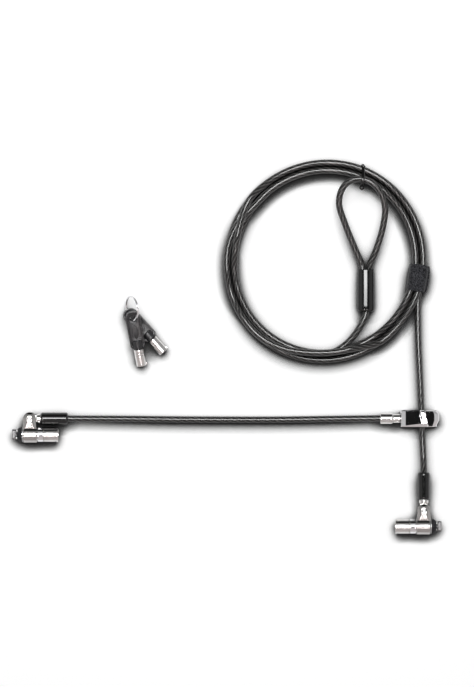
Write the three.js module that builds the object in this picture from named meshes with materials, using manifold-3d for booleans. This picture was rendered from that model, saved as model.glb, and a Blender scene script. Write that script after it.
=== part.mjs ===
// A twin-head keyed cable lock for laptops: a steel cable with a formed eye, coiled and strapped, with a
// lock head at its other end; a second short cable with its own head, whose slider loop rides on the main
// cable; and two tubular keys on a split ring.
// Millimetres, +Z up. The lock lies on the plane z = 0, X to the right and Y away from the viewer's feet,
// with the origin below the middle of the heads, keys and ring.

import * as THREE from "three";
import { mergeVertices } from "three/addons/utils/BufferGeometryUtils.js";
import Module from "manifold-3d";

const wasm = await Module();
wasm.setup();

// ---- Driving dimensions -------------------------------------------------------------------------------

// Fits
const FIT_GAP = 0.3; // between pieces that touch, and round each shaft
const FLOOR_GAP = 0.05; // under the lowest strand of the coil
const OVERCUT = 1; // how far a cutter runs past what it cuts, and a joined piece into the other
const HAIR = 0.01; // keeps an outline from touching itself or its cutter

// Sides of round shapes
const SIDES = { collar: 24, barrel: 20, ferrule: 16, hole: 12, dowel: 10, pin: 6 };

// Cable
const CABLE_DIAMETER = 4.4;
const CABLE_SOCKET = 6; // how deep a cable end sits in a ferrule
const CABLE_SIDES = 8;

// Coil
const COIL_CENTRE_X = 64.5;
const COIL_CENTRE_Y = 101.3;
const COIL_INNER_RADIUS = 60.6; // centre line of the inner strands
const STRAND_GAP = 0.55;
const COIL_OFF_CENTRE = 1.4; // how far the loops lean towards COIL_LEAN_ANGLE
const COIL_OVALITY = 0.8;
const COIL_LEAN_ANGLE = 52; // degrees
const COIL_START_ANGLE = 275; // degrees, where the lead joins the coil, which then turns clockwise
const COIL_TURNED = 1365; // degrees from there to the end in the strap
const LOOP_STEPS = 24;
const LOOP_SIDES = 6;

// Strap and tie
const STRAP_ANGLE = 351; // degrees on the coil
const STRAP_WIDTH = 18.6; // along the cable
const STRAP_WALL = 0.9;
const TIE_ANGLE = 64.6;
const TIE_WIDTH = 2.6;
const TIE_WALL = 0.9;
const TIE_BEAD_DIAMETER = 3.4;
const TIE_REACH = 24; // how far inside the coil's inner strands the tie takes the eye in
const BAND_POINT_GAP = 0.5; // least distance between points of a band's outline
const LIFT_FLAT = 12; // degrees each side of a band that the strands stay lifted
const LIFT_RAMP = 22; // degrees in which they come down again

// Eye sleeve
const SLEEVE_X = 92.8;
const SLEEVE_TOP_Y = 97.3;
const SLEEVE_LENGTH = 28.4;
const SLEEVE_WIDTH = 11.2;
const SLEEVE_HEIGHT = 7;
const SLEEVE_ROUND = 2.2;
const SLEEVE_END_TAPER = 1.8;
const EYE_LEG_SPACING = 5.2;
const CRIMP_WALL = 0.6;
const SLEEVE_MOUTH = 3; // how deep the cable goes in before it meets the crimp

// Lock heads, along the barrel axis from the fork pin: minus is towards the key, plus towards the T-bar
const HEAD_SPAN = 262.6; // across the lock, fork pin to fork pin
const RIGHT_HEAD_Y = -74.1;
const LEFT_HEAD_Y = -12.9;
const COLLAR_DIAMETER = 11;
const COLLAR_BACK = -5;
const COLLAR_LENGTH = 9.2;
const COLLAR_WALL = 1;
const BARREL_DIAMETER = 10;
const BARREL_LENGTH = 24; // key face to front face
const REAR_SLEEVE_LENGTH = 9.4;
const BARREL_WALL = 1.05;
const BARREL_FRONT_WALL = 1.2;
const KEY_FACE_RIM = 1.6;
const KEY_FACE_RIM_HEIGHT = 0.2;
const SNAP_RING_WIDTH = 0.5;
const SNAP_RING_SLOT = 50; // degrees

// Fork and fork pin
const FORK_PIN_HEIGHT = 10.6; // from the barrel axis to the fork pin
const FORK_RADIUS = 4.4;
const FORK_THICKNESS = 9;
const FORK_SLOT = 3.4;
const FORK_SLOT_DEPTH = 5; // from the pin towards the barrel
const FORK_PIN_DIAMETER = 2.6;
const TONGUE_RADIUS = 3.6;
const TONGUE_WIDTH = 5;
const EYE_SHOULDER_DIAMETER = 6.4;
const EYE_SHOULDER_LENGTH = 2.4;
const EYE_SHANK_DIAMETER = 3.8;
const FERRULE_DIAMETER = 8.2;
const FERRULE_LENGTH = 18;
const FERRULE_ROUND = 1;

// Nose, guide pins and T-bar, for a 3 x 7 mm slot
const NOSE_LENGTH = 2.2;
const NOSE_BASE_DIAMETER = 9;
const NOSE_TIP_DIAMETER = 6.6;
const GUIDE_PLATE_THICKNESS = 0.6;
const GUIDE_PIN_REACH = 0.6; // past the nose
const GUIDE_PIN_SPACING = 4.5;
const GUIDE_PIN_WIDTH = 1.3;
const GUIDE_PIN_HEIGHT = 2.2;
const SPINDLE_DIAMETER = 2.4;
const CROSSBAR_LENGTH = 7;
const CROSSBAR_HEIGHT = 2.6;
const CROSSBAR_THICKNESS = 2.5;

// Cylinder
const SPINDLE_SOCKET = 4; // how deep the spindle sits in the rotor
const STATOR_LENGTH = 5.6;
const POST_DIAMETER = 3.8;
const POST_RECESS = 0.5; // the post ends this far inside the key face
const PIN_COUNT = 7;
const PIN_CIRCLE = 5.7;
const PIN_DIAMETER = 0.8;
const PIN_LENGTH = 3;
const PIN_WEB = 0.5;
const DOWEL_DIAMETER = 1;
const DOWEL_DEPTH = 0.7; // into the pin block

// Slider loop and its ferrule
const SLIDER_X = 128.6;
const SLIDER_Y = -2.2;
const SLIDER_WIDTH = 26;
const SLIDER_LENGTH = 11; // along the main cable
const SLIDER_HEIGHT = 9.4;
const SLIDER_WALL = 1.6;
const SLIDER_CORNER = 3;
const SLIDER_END_ROUND = 4; // seen from above, at the end away from the ferrule
const SLIDER_FERRULE_END_ROUND = 1;
const SLIDER_FERRULE_LENGTH = 13;
const SLIDER_FERRULE_DIAMETER = 7.4;
const SLIDER_FERRULE_CHAMFER = 0.4;
const SLIDER_NECK_LENGTH = 4.6;
const SLIDER_NECK_DIAMETER = 6;
const RIVET_DIAMETER = 2.6;
const RIVET_HEAD_DIAMETER = 4;
const RIVET_HEAD_HEIGHT = 1;
const RIVET_HEAD_CHAMFER = 0.6;

// Keys and ring
const RING_FROM_RIGHT_HEAD = 145.3; // along Y
const RING_X = -63.2;
const RING_DIAMETER = 16; // of its centre line
const RING_WIRE_DIAMETER = 1.3;
const RING_LEAN = 61; // degrees from lying flat
const RING_REST_HEIGHT = 1.25; // the keys hold the ring this far off the table
const RING_YAW = -82;
const KEY_1_RIGHT_OF_RING = 2.2; // from the ring's middle to the key bow's
const KEY_1_BELOW_RING = 14.3;
const KEY_1_YAW = -80;
const KEY_1_PITCH = 13.7;
const KEY_2_RIGHT_OF_RING = 4.5;
const KEY_2_BELOW_RING = 10.7;
const KEY_2_YAW = -48;
const KEY_2_PITCH = 1.7;
const KEY_BOW_LENGTH = 26;
const KEY_BOW_WIDTH = 10;
const KEY_BOW_THICKNESS = 3;
const KEY_BOW_RIM = 1;
const KEY_BOW_RECESS = 0.6;
const KEY_BOW_SHOULDER = 2;
const KEY_HOLE_DIAMETER = 5.4;
const KEY_HOLE_FROM_TOP = 5.7;
const KEY_BOSS_LENGTH = 5.5;
const KEY_BARREL_DIAMETER = 6.9;
const KEY_BARREL_LENGTH = 11.5;
const KEY_BORE_DIAMETER = 4.6;
const KEY_BORE_DEPTH = 9;
const KEY_STEM_DIAMETER = 2.8;
const KEY_STEM_LENGTH = 4;
const KEY_CUT_DEPTH = 0.9; // of the notches that push the pins
const KEY_CUT_WIDTH = 0.9;
const KEY_LUG_SIZE = 0.9;

// ---- Derived sizes ------------------------------------------------------------------------------------

const CABLE_RADIUS = CABLE_DIAMETER / 2;
const STRAND_PITCH = CABLE_DIAMETER + STRAND_GAP;
const RIGHT_HEAD_X = HEAD_SPAN / 2;
const LEFT_HEAD_X = -HEAD_SPAN / 2;
const AXIS_HEIGHT = COLLAR_DIAMETER / 2; // barrel, fork and ferrule axes above the table
const SLEEVE_AXIS_HEIGHT = SLEEVE_HEIGHT / 2;
const SLEEVE_BOTTOM_Y = SLEEVE_TOP_Y - SLEEVE_LENGTH;
const LEFT_LEG_X = SLEEVE_X - EYE_LEG_SPACING / 2;
const RIGHT_LEG_X = SLEEVE_X + EYE_LEG_SPACING / 2;
const CABLE_HOLE_RADIUS = CABLE_RADIUS + FIT_GAP;
const COLLAR_FRONT = COLLAR_BACK + COLLAR_LENGTH;
const COLLAR_BORE_RADIUS = COLLAR_DIAMETER / 2 - COLLAR_WALL;
const BARREL_RADIUS = BARREL_DIAMETER / 2;
const NECK_RADIUS = COLLAR_BORE_RADIUS - FIT_GAP; // of the barrel inside the collar
const CHAMBER_RADIUS = NECK_RADIUS - BARREL_WALL;
const SNAP_RING_BACK = COLLAR_FRONT + FIT_GAP;
const BARREL_FRONT = SNAP_RING_BACK + SNAP_RING_WIDTH;
const KEY_FACE = BARREL_FRONT - BARREL_LENGTH;
const REAR_SLEEVE_FRONT = KEY_FACE + REAR_SLEEVE_LENGTH;
const BARREL_BACK = REAR_SLEEVE_FRONT + FIT_GAP;
const KEYWAY_RADIUS = KEY_BARREL_DIAMETER / 2 + FIT_GAP;
const FERRULE_START = FORK_RADIUS + 2 * FIT_GAP + EYE_SHOULDER_LENGTH; // from the fork pin
const FERRULE_END = FERRULE_START + FERRULE_LENGTH;
const FERRULE_SEAT = FERRULE_END - CABLE_SOCKET; // where shank and cable meet inside
const GUIDE_PLATE_BACK = BARREL_FRONT + FIT_GAP;
const NOSE_BACK = GUIDE_PLATE_BACK + GUIDE_PLATE_THICKNESS + FIT_GAP;
const NOSE_FRONT = NOSE_BACK + NOSE_LENGTH;
const GUIDE_PIN_END = NOSE_FRONT + GUIDE_PIN_REACH;
const CROSSBAR_BACK = GUIDE_PIN_END + FIT_GAP;
const ROTOR_FRONT = BARREL_FRONT - BARREL_FRONT_WALL - FIT_GAP;
const ROTOR_BACK = REAR_SLEEVE_FRONT + FIT_GAP;
const STATOR_FRONT = REAR_SLEEVE_FRONT;
const STATOR_BACK = STATOR_FRONT - STATOR_LENGTH;
const STATOR_RADIUS = KEYWAY_RADIUS - FIT_GAP;
const DOWEL_PLACE = REAR_SLEEVE_FRONT - 2 * DOWEL_DIAMETER;
const SPINDLE_HOLE_RADIUS = SPINDLE_DIAMETER / 2 + FIT_GAP;
const SLIDER_AXIS_HEIGHT = SLIDER_HEIGHT / 2;
const SLIDER_LEFT_X = SLIDER_X - SLIDER_WIDTH / 2;
const KEY_TIP = KEY_BOW_LENGTH / 2 + FIT_GAP + KEY_BARREL_LENGTH;
const RING_Y = RIGHT_HEAD_Y + RING_FROM_RIGHT_HEAD;
const RING_RISE = (RING_DIAMETER / 2) * Math.sin(THREE.MathUtils.degToRad(RING_LEAN));
const RING_HEIGHT = RING_RISE + RING_WIRE_DIAMETER / 2 + RING_REST_HEIGHT;

// ---- Colours ------------------------------------------------------------------------------------------

const FINISHES = {
  cable: { color: 0x24272a, roughness: 0.25, metalness: 0.2 },
  nickel: { color: 0xb8b9ba, roughness: 0.18, metalness: 1 },
  chrome: { color: 0xd0d1d2, roughness: 0.1, metalness: 1 },
  steel: { color: 0x8b8c8d, roughness: 0.45, metalness: 1 },
  brass: { color: 0xb59a5a, roughness: 0.35, metalness: 1 },
  gloss: { color: 0x0d0d0e, roughness: 0.15, metalness: 0 },
  rubber: { color: 0x17181a, roughness: 0.75, metalness: 0 },
  plastic: { color: 0x1b1b1d, roughness: 0.4, metalness: 0 },
  fabric: { color: 0x2c2d30, roughness: 0.95, metalness: 0 },
};

// ---- Small tools --------------------------------------------------------------------------------------

const radians = THREE.MathUtils.degToRad;
const lock = new THREE.Group();

function addMesh(parent, name, geometry, finish) {
  const mesh = new THREE.Mesh(geometry, new THREE.MeshStandardMaterial(FINISHES[finish]));
  mesh.name = name;
  parent.add(mesh);
}

// A closed geometry as a solid that can be joined and cut.
function solidOf(geometry) {
  const bare = geometry.clone();
  bare.deleteAttribute("normal");
  bare.deleteAttribute("uv");
  const merged = mergeVertices(bare, 1e-4);
  const mesh = new wasm.Mesh({
    numProp: 3,
    vertProperties: new Float32Array(merged.attributes.position.array),
    triVerts: new Uint32Array(merged.index.array),
  });
  return new wasm.Manifold(mesh);
}

function geometryOf(solid) {
  const mesh = solid.getMesh();
  const geometry = new THREE.BufferGeometry();
  geometry.setAttribute("position", new THREE.BufferAttribute(new Float32Array(mesh.vertProperties), 3));
  geometry.setIndex(new THREE.BufferAttribute(new Uint32Array(mesh.triVerts), 1));
  geometry.computeVertexNormals();
  return geometry;
}

function joined(...geometries) {
  return geometryOf(geometries.map(solidOf).reduce((whole, piece) => whole.add(piece)));
}

function cut(base, ...tools) {
  return geometryOf(tools.map(solidOf).reduce((left, tool) => left.subtract(tool), solidOf(base)));
}

// A body turned round the X axis from a closed outline of [x, radius] pairs, listed with x rising along
// its outside.
function turned(outline, segments) {
  const points = outline.map(([along, radius]) => new THREE.Vector2(radius, along));
  points.push(points[0].clone());
  return new THREE.LatheGeometry(points, segments).rotateZ(-Math.PI / 2);
}

// A tube round the X axis, from back to front.
function ring(back, front, outerRadius, boreRadius, segments) {
  const outline = [
    [back, boreRadius],
    [back, outerRadius],
    [front, outerRadius],
    [front, boreRadius],
  ];
  return turned(outline, segments);
}

// A plain rod along X, Y or Z, between two coordinates of that axis.
function rod(axis, from, to, radius, segments) {
  const geometry = new THREE.CylinderGeometry(radius, radius, to - from, segments);
  geometry.translate(0, (from + to) / 2, 0);
  if (axis === "x") geometry.rotateZ(-Math.PI / 2);
  if (axis === "z") geometry.rotateX(Math.PI / 2);
  return geometry;
}

function block(width, depth, height, x, y, z) {
  return new THREE.BoxGeometry(width, depth, height).translate(x, y, z);
}

// A rectangle with round corners about its own middle.
function roundedRectangle(width, height, corner, target = new THREE.Shape()) {
  const x = width / 2 - corner;
  const y = height / 2 - corner;
  target.absarc(x, y, corner, 0, Math.PI / 2);
  target.absarc(-x, y, corner, Math.PI / 2, Math.PI);
  target.absarc(-x, -y, corner, Math.PI, 1.5 * Math.PI);
  target.absarc(x, -y, corner, 1.5 * Math.PI, 2 * Math.PI);
  target.closePath();
  return target;
}

function extruded(shape, depth, curveSegments) {
  return new THREE.ExtrudeGeometry(shape, { depth, curveSegments, bevelEnabled: false });
}

// A plain round tube along a route of hand-chosen points.
function tubeAlong(route, steps) {
  const circle = new THREE.Shape();
  for (let side = 0; side < CABLE_SIDES; side++) {
    const angle = (2 * Math.PI * side) / CABLE_SIDES;
    const point = [CABLE_RADIUS * Math.cos(angle), CABLE_RADIUS * Math.sin(angle)];
    if (side === 0) circle.moveTo(...point);
    else circle.lineTo(...point);
  }
  circle.closePath();
  return new THREE.ExtrudeGeometry(circle, { steps, bevelEnabled: false, extrudePath: curveThrough(route) });
}

function curveThrough(route) {
  return new THREE.CatmullRomCurve3(
    route.map((point) => new THREE.Vector3(...point)),
    false,
    "centripetal",
  );
}

// One unbroken tube of few sides through every point of a route that stays nearly level.
function loopedTube(route) {
  const positions = [];
  const faces = [];
  const up = new THREE.Vector3(0, 0, 1);
  route.forEach((point, index) => {
    const before = route[Math.max(index - 1, 0)];
    const after = route[Math.min(index + 1, route.length - 1)];
    const along = after.clone().sub(before).normalize();
    const side = along.clone().cross(up).normalize();
    const over = side.clone().cross(along);
    for (let corner = 0; corner < LOOP_SIDES; corner++) {
      const angle = (2 * Math.PI * corner) / LOOP_SIDES;
      const vertex = point
        .clone()
        .addScaledVector(side, CABLE_RADIUS * Math.cos(angle))
        .addScaledVector(over, CABLE_RADIUS * Math.sin(angle));
      positions.push(vertex.x, vertex.y, vertex.z);
    }
  });
  for (let index = 0; index + 1 < route.length; index++) {
    for (let corner = 0; corner < LOOP_SIDES; corner++) {
      const next = (corner + 1) % LOOP_SIDES;
      const here = index * LOOP_SIDES;
      const there = here + LOOP_SIDES;
      faces.push(here + corner, there + next, here + next);
      faces.push(here + corner, there + corner, there + next);
    }
  }
  const last = (route.length - 1) * LOOP_SIDES;
  for (let corner = 1; corner + 1 < LOOP_SIDES; corner++) {
    faces.push(0, corner, corner + 1);
    faces.push(last, last + corner + 1, last + corner);
  }
  const geometry = new THREE.BufferGeometry();
  geometry.setAttribute("position", new THREE.Float32BufferAttribute(positions, 3));
  geometry.setIndex(faces);
  return geometry;
}

// ---- Coil route ---------------------------------------------------------------------------------------

// Four strands lie in two rows of two. Going round, the strand changes place in these moves: outward by a
// strand (or inward, -1), or upward by a layer (or down, -1). Start and span are in degrees of turn.
const STRAND_MOVES = [
  { start: 85, span: 25, outward: 0, upward: 1 },
  { start: 110, span: 25, outward: 1, upward: 0 },
  { start: 135, span: 25, outward: 0, upward: -1 },
  { start: 330, span: 20, outward: -1, upward: 1 },
  { start: 365, span: 45, outward: 1, upward: 0 },
  { start: 410, span: 25, outward: 0, upward: -1 },
  { start: 470, span: 25, outward: -1, upward: 0 },
  { start: 670, span: 20, outward: 0, upward: -1 },
  { start: 1013, span: 20, outward: 1, upward: 0 },
];

function eased(share) {
  const held = Math.min(Math.max(share, 0), 1);
  return held * held * (3 - 2 * held);
}

// How far the strands are lifted at an angle so that a band fits under them.
function lifted(angle, bandAngle, wall) {
  const away = Math.abs(((((angle - bandAngle) % 360) + 540) % 360) - 180);
  const height = wall + FIT_GAP - FLOOR_GAP;
  return height * eased((LIFT_FLAT + LIFT_RAMP - away) / LIFT_RAMP);
}

function coilPoint(turn) {
  let place = 0;
  let layer = 1;
  for (const move of STRAND_MOVES) {
    const share = eased((turn - move.start) / move.span);
    place += move.outward * share;
    layer += move.upward * share;
  }
  const angle = COIL_START_ANGLE - turn;
  const lean = radians(angle - COIL_LEAN_ANGLE);
  const wander = COIL_OFF_CENTRE * Math.cos(lean) + COIL_OVALITY * Math.cos(2 * lean);
  const radius = COIL_INNER_RADIUS + place * STRAND_PITCH + wander;
  const lift = lifted(angle, STRAP_ANGLE, STRAP_WALL) + lifted(angle, TIE_ANGLE, TIE_WALL);
  return new THREE.Vector3(
    COIL_CENTRE_X + radius * Math.cos(radians(angle)),
    COIL_CENTRE_Y + radius * Math.sin(radians(angle)),
    CABLE_RADIUS + FLOOR_GAP + layer * STRAND_PITCH + lift,
  );
}

// From the sleeve to the coil, chosen by hand.
const LEAD_POINTS = [
  [SLEEVE_X, SLEEVE_BOTTOM_Y + SLEEVE_MOUTH, SLEEVE_AXIS_HEIGHT],
  [SLEEVE_X, SLEEVE_BOTTOM_Y + SLEEVE_MOUTH - CABLE_DIAMETER, SLEEVE_AXIS_HEIGHT],
  [90.2, 61.4, 4.1],
  [84.6, 52.8, 5.6],
  [77.4, 45.8, 6.8],
];

const coilRoute = LEAD_POINTS.map((point) => new THREE.Vector3(...point));
for (let turn = 0; turn < COIL_TURNED; turn += 360 / LOOP_STEPS) coilRoute.push(coilPoint(turn));
const coilEnd = coilPoint(COIL_TURNED);
const coilEndDirection = coilEnd.clone().sub(coilPoint(COIL_TURNED - 3)).normalize();
coilRoute.push(coilEnd.clone().addScaledVector(coilEndDirection, -CABLE_DIAMETER), coilEnd);

// The least clear gap between parts of a route that are further apart along it than they are across.
function leastGap(route) {
  const dense = [];
  for (let index = 0; index + 1 < route.length; index++) {
    for (let part = 0; part < 4; part++) dense.push(route[index].clone().lerp(route[index + 1], part / 4));
  }
  const travelled = [0];
  for (let index = 1; index < dense.length; index++) {
    travelled.push(travelled[index - 1] + dense[index].distanceTo(dense[index - 1]));
  }
  let least = Infinity;
  for (let one = 0; one < dense.length; one++) {
    for (let two = one + 1; two < dense.length; two++) {
      if (travelled[two] - travelled[one] < 3 * CABLE_DIAMETER) continue;
      least = Math.min(least, dense[one].distanceTo(dense[two]) - CABLE_DIAMETER);
    }
  }
  return least;
}

console.log("coil: least gap to itself " + leastGap(coilRoute).toFixed(2) + " mm");

// ---- Straight run, eye and second cable ---------------------------------------------------------------

const runStart = coilEnd.clone().addScaledVector(coilEndDirection, FIT_GAP);
const runStraight = coilEnd.clone().addScaledVector(coilEndDirection, FIT_GAP + CABLE_DIAMETER);
const RUN_POINTS = [
  runStart.toArray(),
  runStraight.toArray(),
  [127.6, 76.5, 3.8],
  [127.6, 53.5, 4.1],
  [129.1, 18, 4.6],
  [130.3, -14, 5],
  [131.1, -30, 5.4],
  [RIGHT_HEAD_X, RIGHT_HEAD_Y + FORK_PIN_HEIGHT + FERRULE_END - CABLE_DIAMETER / 4, AXIS_HEIGHT],
  [RIGHT_HEAD_X, RIGHT_HEAD_Y + FORK_PIN_HEIGHT + FERRULE_SEAT + FIT_GAP, AXIS_HEIGHT],
];

const EYE_POINTS = [
  [LEFT_LEG_X, SLEEVE_TOP_Y - SLEEVE_MOUTH, SLEEVE_AXIS_HEIGHT],
  [LEFT_LEG_X, SLEEVE_TOP_Y + CABLE_DIAMETER / 2, SLEEVE_AXIS_HEIGHT],
  [85.6, 110.8, 4.4],
  [79, 126.8, 7.4],
  [74.6, 141.6, 10.8],
  [77.6, 152, 12.8],
  [84.8, 156.8, 13.6],
  [93, 156.2, 13.6],
  [100.7, 150.5, 13.2],
  [105.1, 139.4, 11],
  [104.2, 126.6, 7.8],
  [99.8, 110.8, 4.5],
  [RIGHT_LEG_X, SLEEVE_TOP_Y + CABLE_DIAMETER / 2, SLEEVE_AXIS_HEIGHT],
  [RIGHT_LEG_X, SLEEVE_TOP_Y - SLEEVE_MOUTH, SLEEVE_AXIS_HEIGHT],
];

const LEFT_PIN_Y = LEFT_HEAD_Y + FORK_PIN_HEIGHT;
const SECOND_CABLE_LEFT = LEFT_HEAD_X + FERRULE_SEAT + FIT_GAP;
const SLIDER_FERRULE_LEFT = SLIDER_LEFT_X - FIT_GAP - SLIDER_FERRULE_LENGTH;
const SECOND_CABLE_RIGHT = SLIDER_FERRULE_LEFT + CABLE_SOCKET - FIT_GAP;
const SECOND_CABLE_POINTS = [
  [SECOND_CABLE_LEFT, LEFT_PIN_Y, AXIS_HEIGHT],
  [LEFT_HEAD_X + FERRULE_END + CABLE_DIAMETER, LEFT_PIN_Y, AXIS_HEIGHT],
  [-70, -2.5, 4],
  [-35, -2.9, 2.6],
  [0, -3.1, 2.3],
  [35, -3.1, 2.3],
  [70, -2.6, 3.2],
  [SLIDER_FERRULE_LEFT - CABLE_DIAMETER, SLIDER_Y, SLIDER_AXIS_HEIGHT],
  [SECOND_CABLE_RIGHT, SLIDER_Y, SLIDER_AXIS_HEIGHT],
];

addMesh(lock, "main_cable_coil", loopedTube(coilRoute), "cable");
addMesh(lock, "main_cable_run", tubeAlong(RUN_POINTS, 14), "cable");
addMesh(lock, "main_cable_eye", tubeAlong(EYE_POINTS, 26), "cable");
addMesh(lock, "second_cable", tubeAlong(SECOND_CABLE_POINTS, 24), "cable");

// ---- Eye sleeve and crimp -----------------------------------------------------------------------------

// Outlines lie in X and Z about the sleeve's axis and are extruded along Y.
function ovalAlong(width, height, bottomY, topY) {
  const oval = roundedRectangle(width, height, height / 2 - HAIR);
  return extruded(oval, topY - bottomY, 5)
    .rotateX(Math.PI / 2)
    .translate(SLEEVE_X, topY, SLEEVE_AXIS_HEIGHT);
}

function sleeveParts() {
  const crimpBottom = SLEEVE_BOTTOM_Y + SLEEVE_MOUTH + FIT_GAP;
  const crimpTop = SLEEVE_TOP_Y - SLEEVE_MOUTH - FIT_GAP;
  const pocketWidth = EYE_LEG_SPACING + 2 * CABLE_HOLE_RADIUS;
  const pocketHeight = 2 * CABLE_HOLE_RADIUS;
  const body = joined(
    ovalAlong(SLEEVE_WIDTH, SLEEVE_HEIGHT, SLEEVE_BOTTOM_Y + SLEEVE_ROUND, SLEEVE_TOP_Y),
    ovalAlong(
      SLEEVE_WIDTH - SLEEVE_END_TAPER,
      SLEEVE_HEIGHT - SLEEVE_END_TAPER,
      SLEEVE_BOTTOM_Y,
      SLEEVE_BOTTOM_Y + SLEEVE_ROUND + OVERCUT,
    ),
  );
  const pocket = ovalAlong(pocketWidth, pocketHeight, crimpBottom - FIT_GAP, SLEEVE_TOP_Y + OVERCUT);
  const leadHole = rod("y", SLEEVE_BOTTOM_Y - OVERCUT, crimpBottom, CABLE_HOLE_RADIUS, SIDES.ferrule);
  leadHole.translate(SLEEVE_X, 0, SLEEVE_AXIS_HEIGHT);
  const crimpWidth = pocketWidth - 2 * FIT_GAP;
  const crimpHeight = pocketHeight - 2 * FIT_GAP;
  const crimp = ovalAlong(crimpWidth, crimpHeight, crimpBottom, crimpTop);
  const strandHoles = [LEFT_LEG_X, RIGHT_LEG_X].map((x) => {
    const hole = rod("y", crimpTop - SLEEVE_MOUTH, crimpTop + OVERCUT, CABLE_RADIUS - CRIMP_WALL, SIDES.hole);
    return hole.translate(x, 0, SLEEVE_AXIS_HEIGHT);
  });
  addMesh(lock, "eye_sleeve", cut(body, pocket, leadHole), "gloss");
  addMesh(lock, "eye_crimp", cut(crimp, ...strandHoles), "steel");
}

sleeveParts();

// ---- Strap and tie round the coil ---------------------------------------------------------------------

// The points of a set that lie on its convex outline, in order round it.
function convexOutline(points) {
  const sorted = [...points].sort((a, b) => a[0] - b[0] || a[1] - b[1]);
  const turn = (o, a, b) => (a[0] - o[0]) * (b[1] - o[1]) - (a[1] - o[1]) * (b[0] - o[0]);
  const half = (list) => {
    const chain = [];
    for (const point of list) {
      while (chain.length > 1 && turn(chain.at(-2), chain.at(-1), point) <= 1e-6) chain.pop();
      chain.push(point);
    }
    return chain.slice(0, -1);
  };
  return [...half(sorted), ...half(sorted.reverse())];
}

// The centres, as [radial, height] in the frame of a band, of every strand that passes through it.
function strandsIn(bandAngle, width, routes) {
  const across = new THREE.Vector3(Math.cos(radians(bandAngle)), Math.sin(radians(bandAngle)), 0);
  const along = new THREE.Vector3(-across.y, across.x, 0);
  const centre = new THREE.Vector3(COIL_CENTRE_X, COIL_CENTRE_Y, 0);
  const centres = [];
  for (const route of routes) {
    for (let index = 0; index + 1 < route.length; index++) {
      for (let part = 0; part < 8; part++) {
        const offset = route[index].clone().lerp(route[index + 1], part / 8).sub(centre);
        const radial = offset.dot(across);
        const inBand = Math.abs(offset.dot(along)) < width / 2 + OVERCUT;
        if (inBand && radial > COIL_INNER_RADIUS - TIE_REACH) centres.push([radial, offset.z]);
      }
    }
  }
  return centres;
}

// The convex outline that keeps a distance from every strand's centre and stays above the table.
function outlineRound(centres, distance) {
  const points = [];
  for (const [radial, height] of centres) {
    for (let side = 0; side < SIDES.hole; side++) {
      const angle = (2 * Math.PI * side) / SIDES.hole;
      points.push([radial + distance * Math.cos(angle), height + distance * Math.sin(angle)]);
    }
  }
  const outline = convexOutline(points).map(([x, y]) => new THREE.Vector2(x, Math.max(y, 0)));
  const farEnough = (point, index) => index === 0 || point.distanceTo(outline[index - 1]) > BAND_POINT_GAP;
  return outline.filter(farEnough);
}

// A closed band drawn tight round strands, as a geometry in the band's own frame: X radial, Y up.
function bandRound(centres, wall, width) {
  const outer = new THREE.Shape(outlineRound(centres, CABLE_HOLE_RADIUS + wall));
  outer.holes.push(new THREE.Path(outlineRound(centres, CABLE_HOLE_RADIUS)));
  return extruded(outer, width, 1).translate(0, 0, -width / 2);
}

// The space inside a band, to keep what is added to the band clear of the strands.
function bandHole(centres) {
  const hole = extruded(new THREE.Shape(outlineRound(centres, CABLE_HOLE_RADIUS)), 4 * TIE_WIDTH, 1);
  return hole.translate(0, 0, -2 * TIE_WIDTH);
}

// Turns a band from its own frame to its place on the coil.
function onCoil(geometry, bandAngle) {
  return geometry
    .rotateX(Math.PI / 2)
    .rotateZ(radians(bandAngle))
    .translate(COIL_CENTRE_X, COIL_CENTRE_Y, 0);
}

const runRoute = curveThrough(RUN_POINTS).getSpacedPoints(40);
const eyeRoute = curveThrough(EYE_POINTS).getSpacedPoints(80);

const strapStrands = strandsIn(STRAP_ANGLE, STRAP_WIDTH, [coilRoute, runRoute]);
addMesh(lock, "coil_strap", onCoil(bandRound(strapStrands, STRAP_WALL, STRAP_WIDTH), STRAP_ANGLE), "fabric");

const tieStrands = strandsIn(TIE_ANGLE, TIE_WIDTH, [coilRoute, eyeRoute]);
const tieBand = bandRound(tieStrands, TIE_WALL, TIE_WIDTH);
const tieTop = tieStrands.reduce((best, strand) => (strand[1] > best[1] ? strand : best));
const beadRadius = TIE_BEAD_DIAMETER / 2;
const beadOut = tieTop[0] - CABLE_HOLE_RADIUS - TIE_WALL / 2 - beadRadius / 2;
const tieBead = new THREE.SphereGeometry(beadRadius, SIDES.hole, 8).translate(beadOut, tieTop[1], 0);
addMesh(lock, "coil_tie", onCoil(joined(tieBand, cut(tieBead, bandHole(tieStrands))), TIE_ANGLE), "gloss");

// ---- Lock head ----------------------------------------------------------------------------------------

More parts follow.
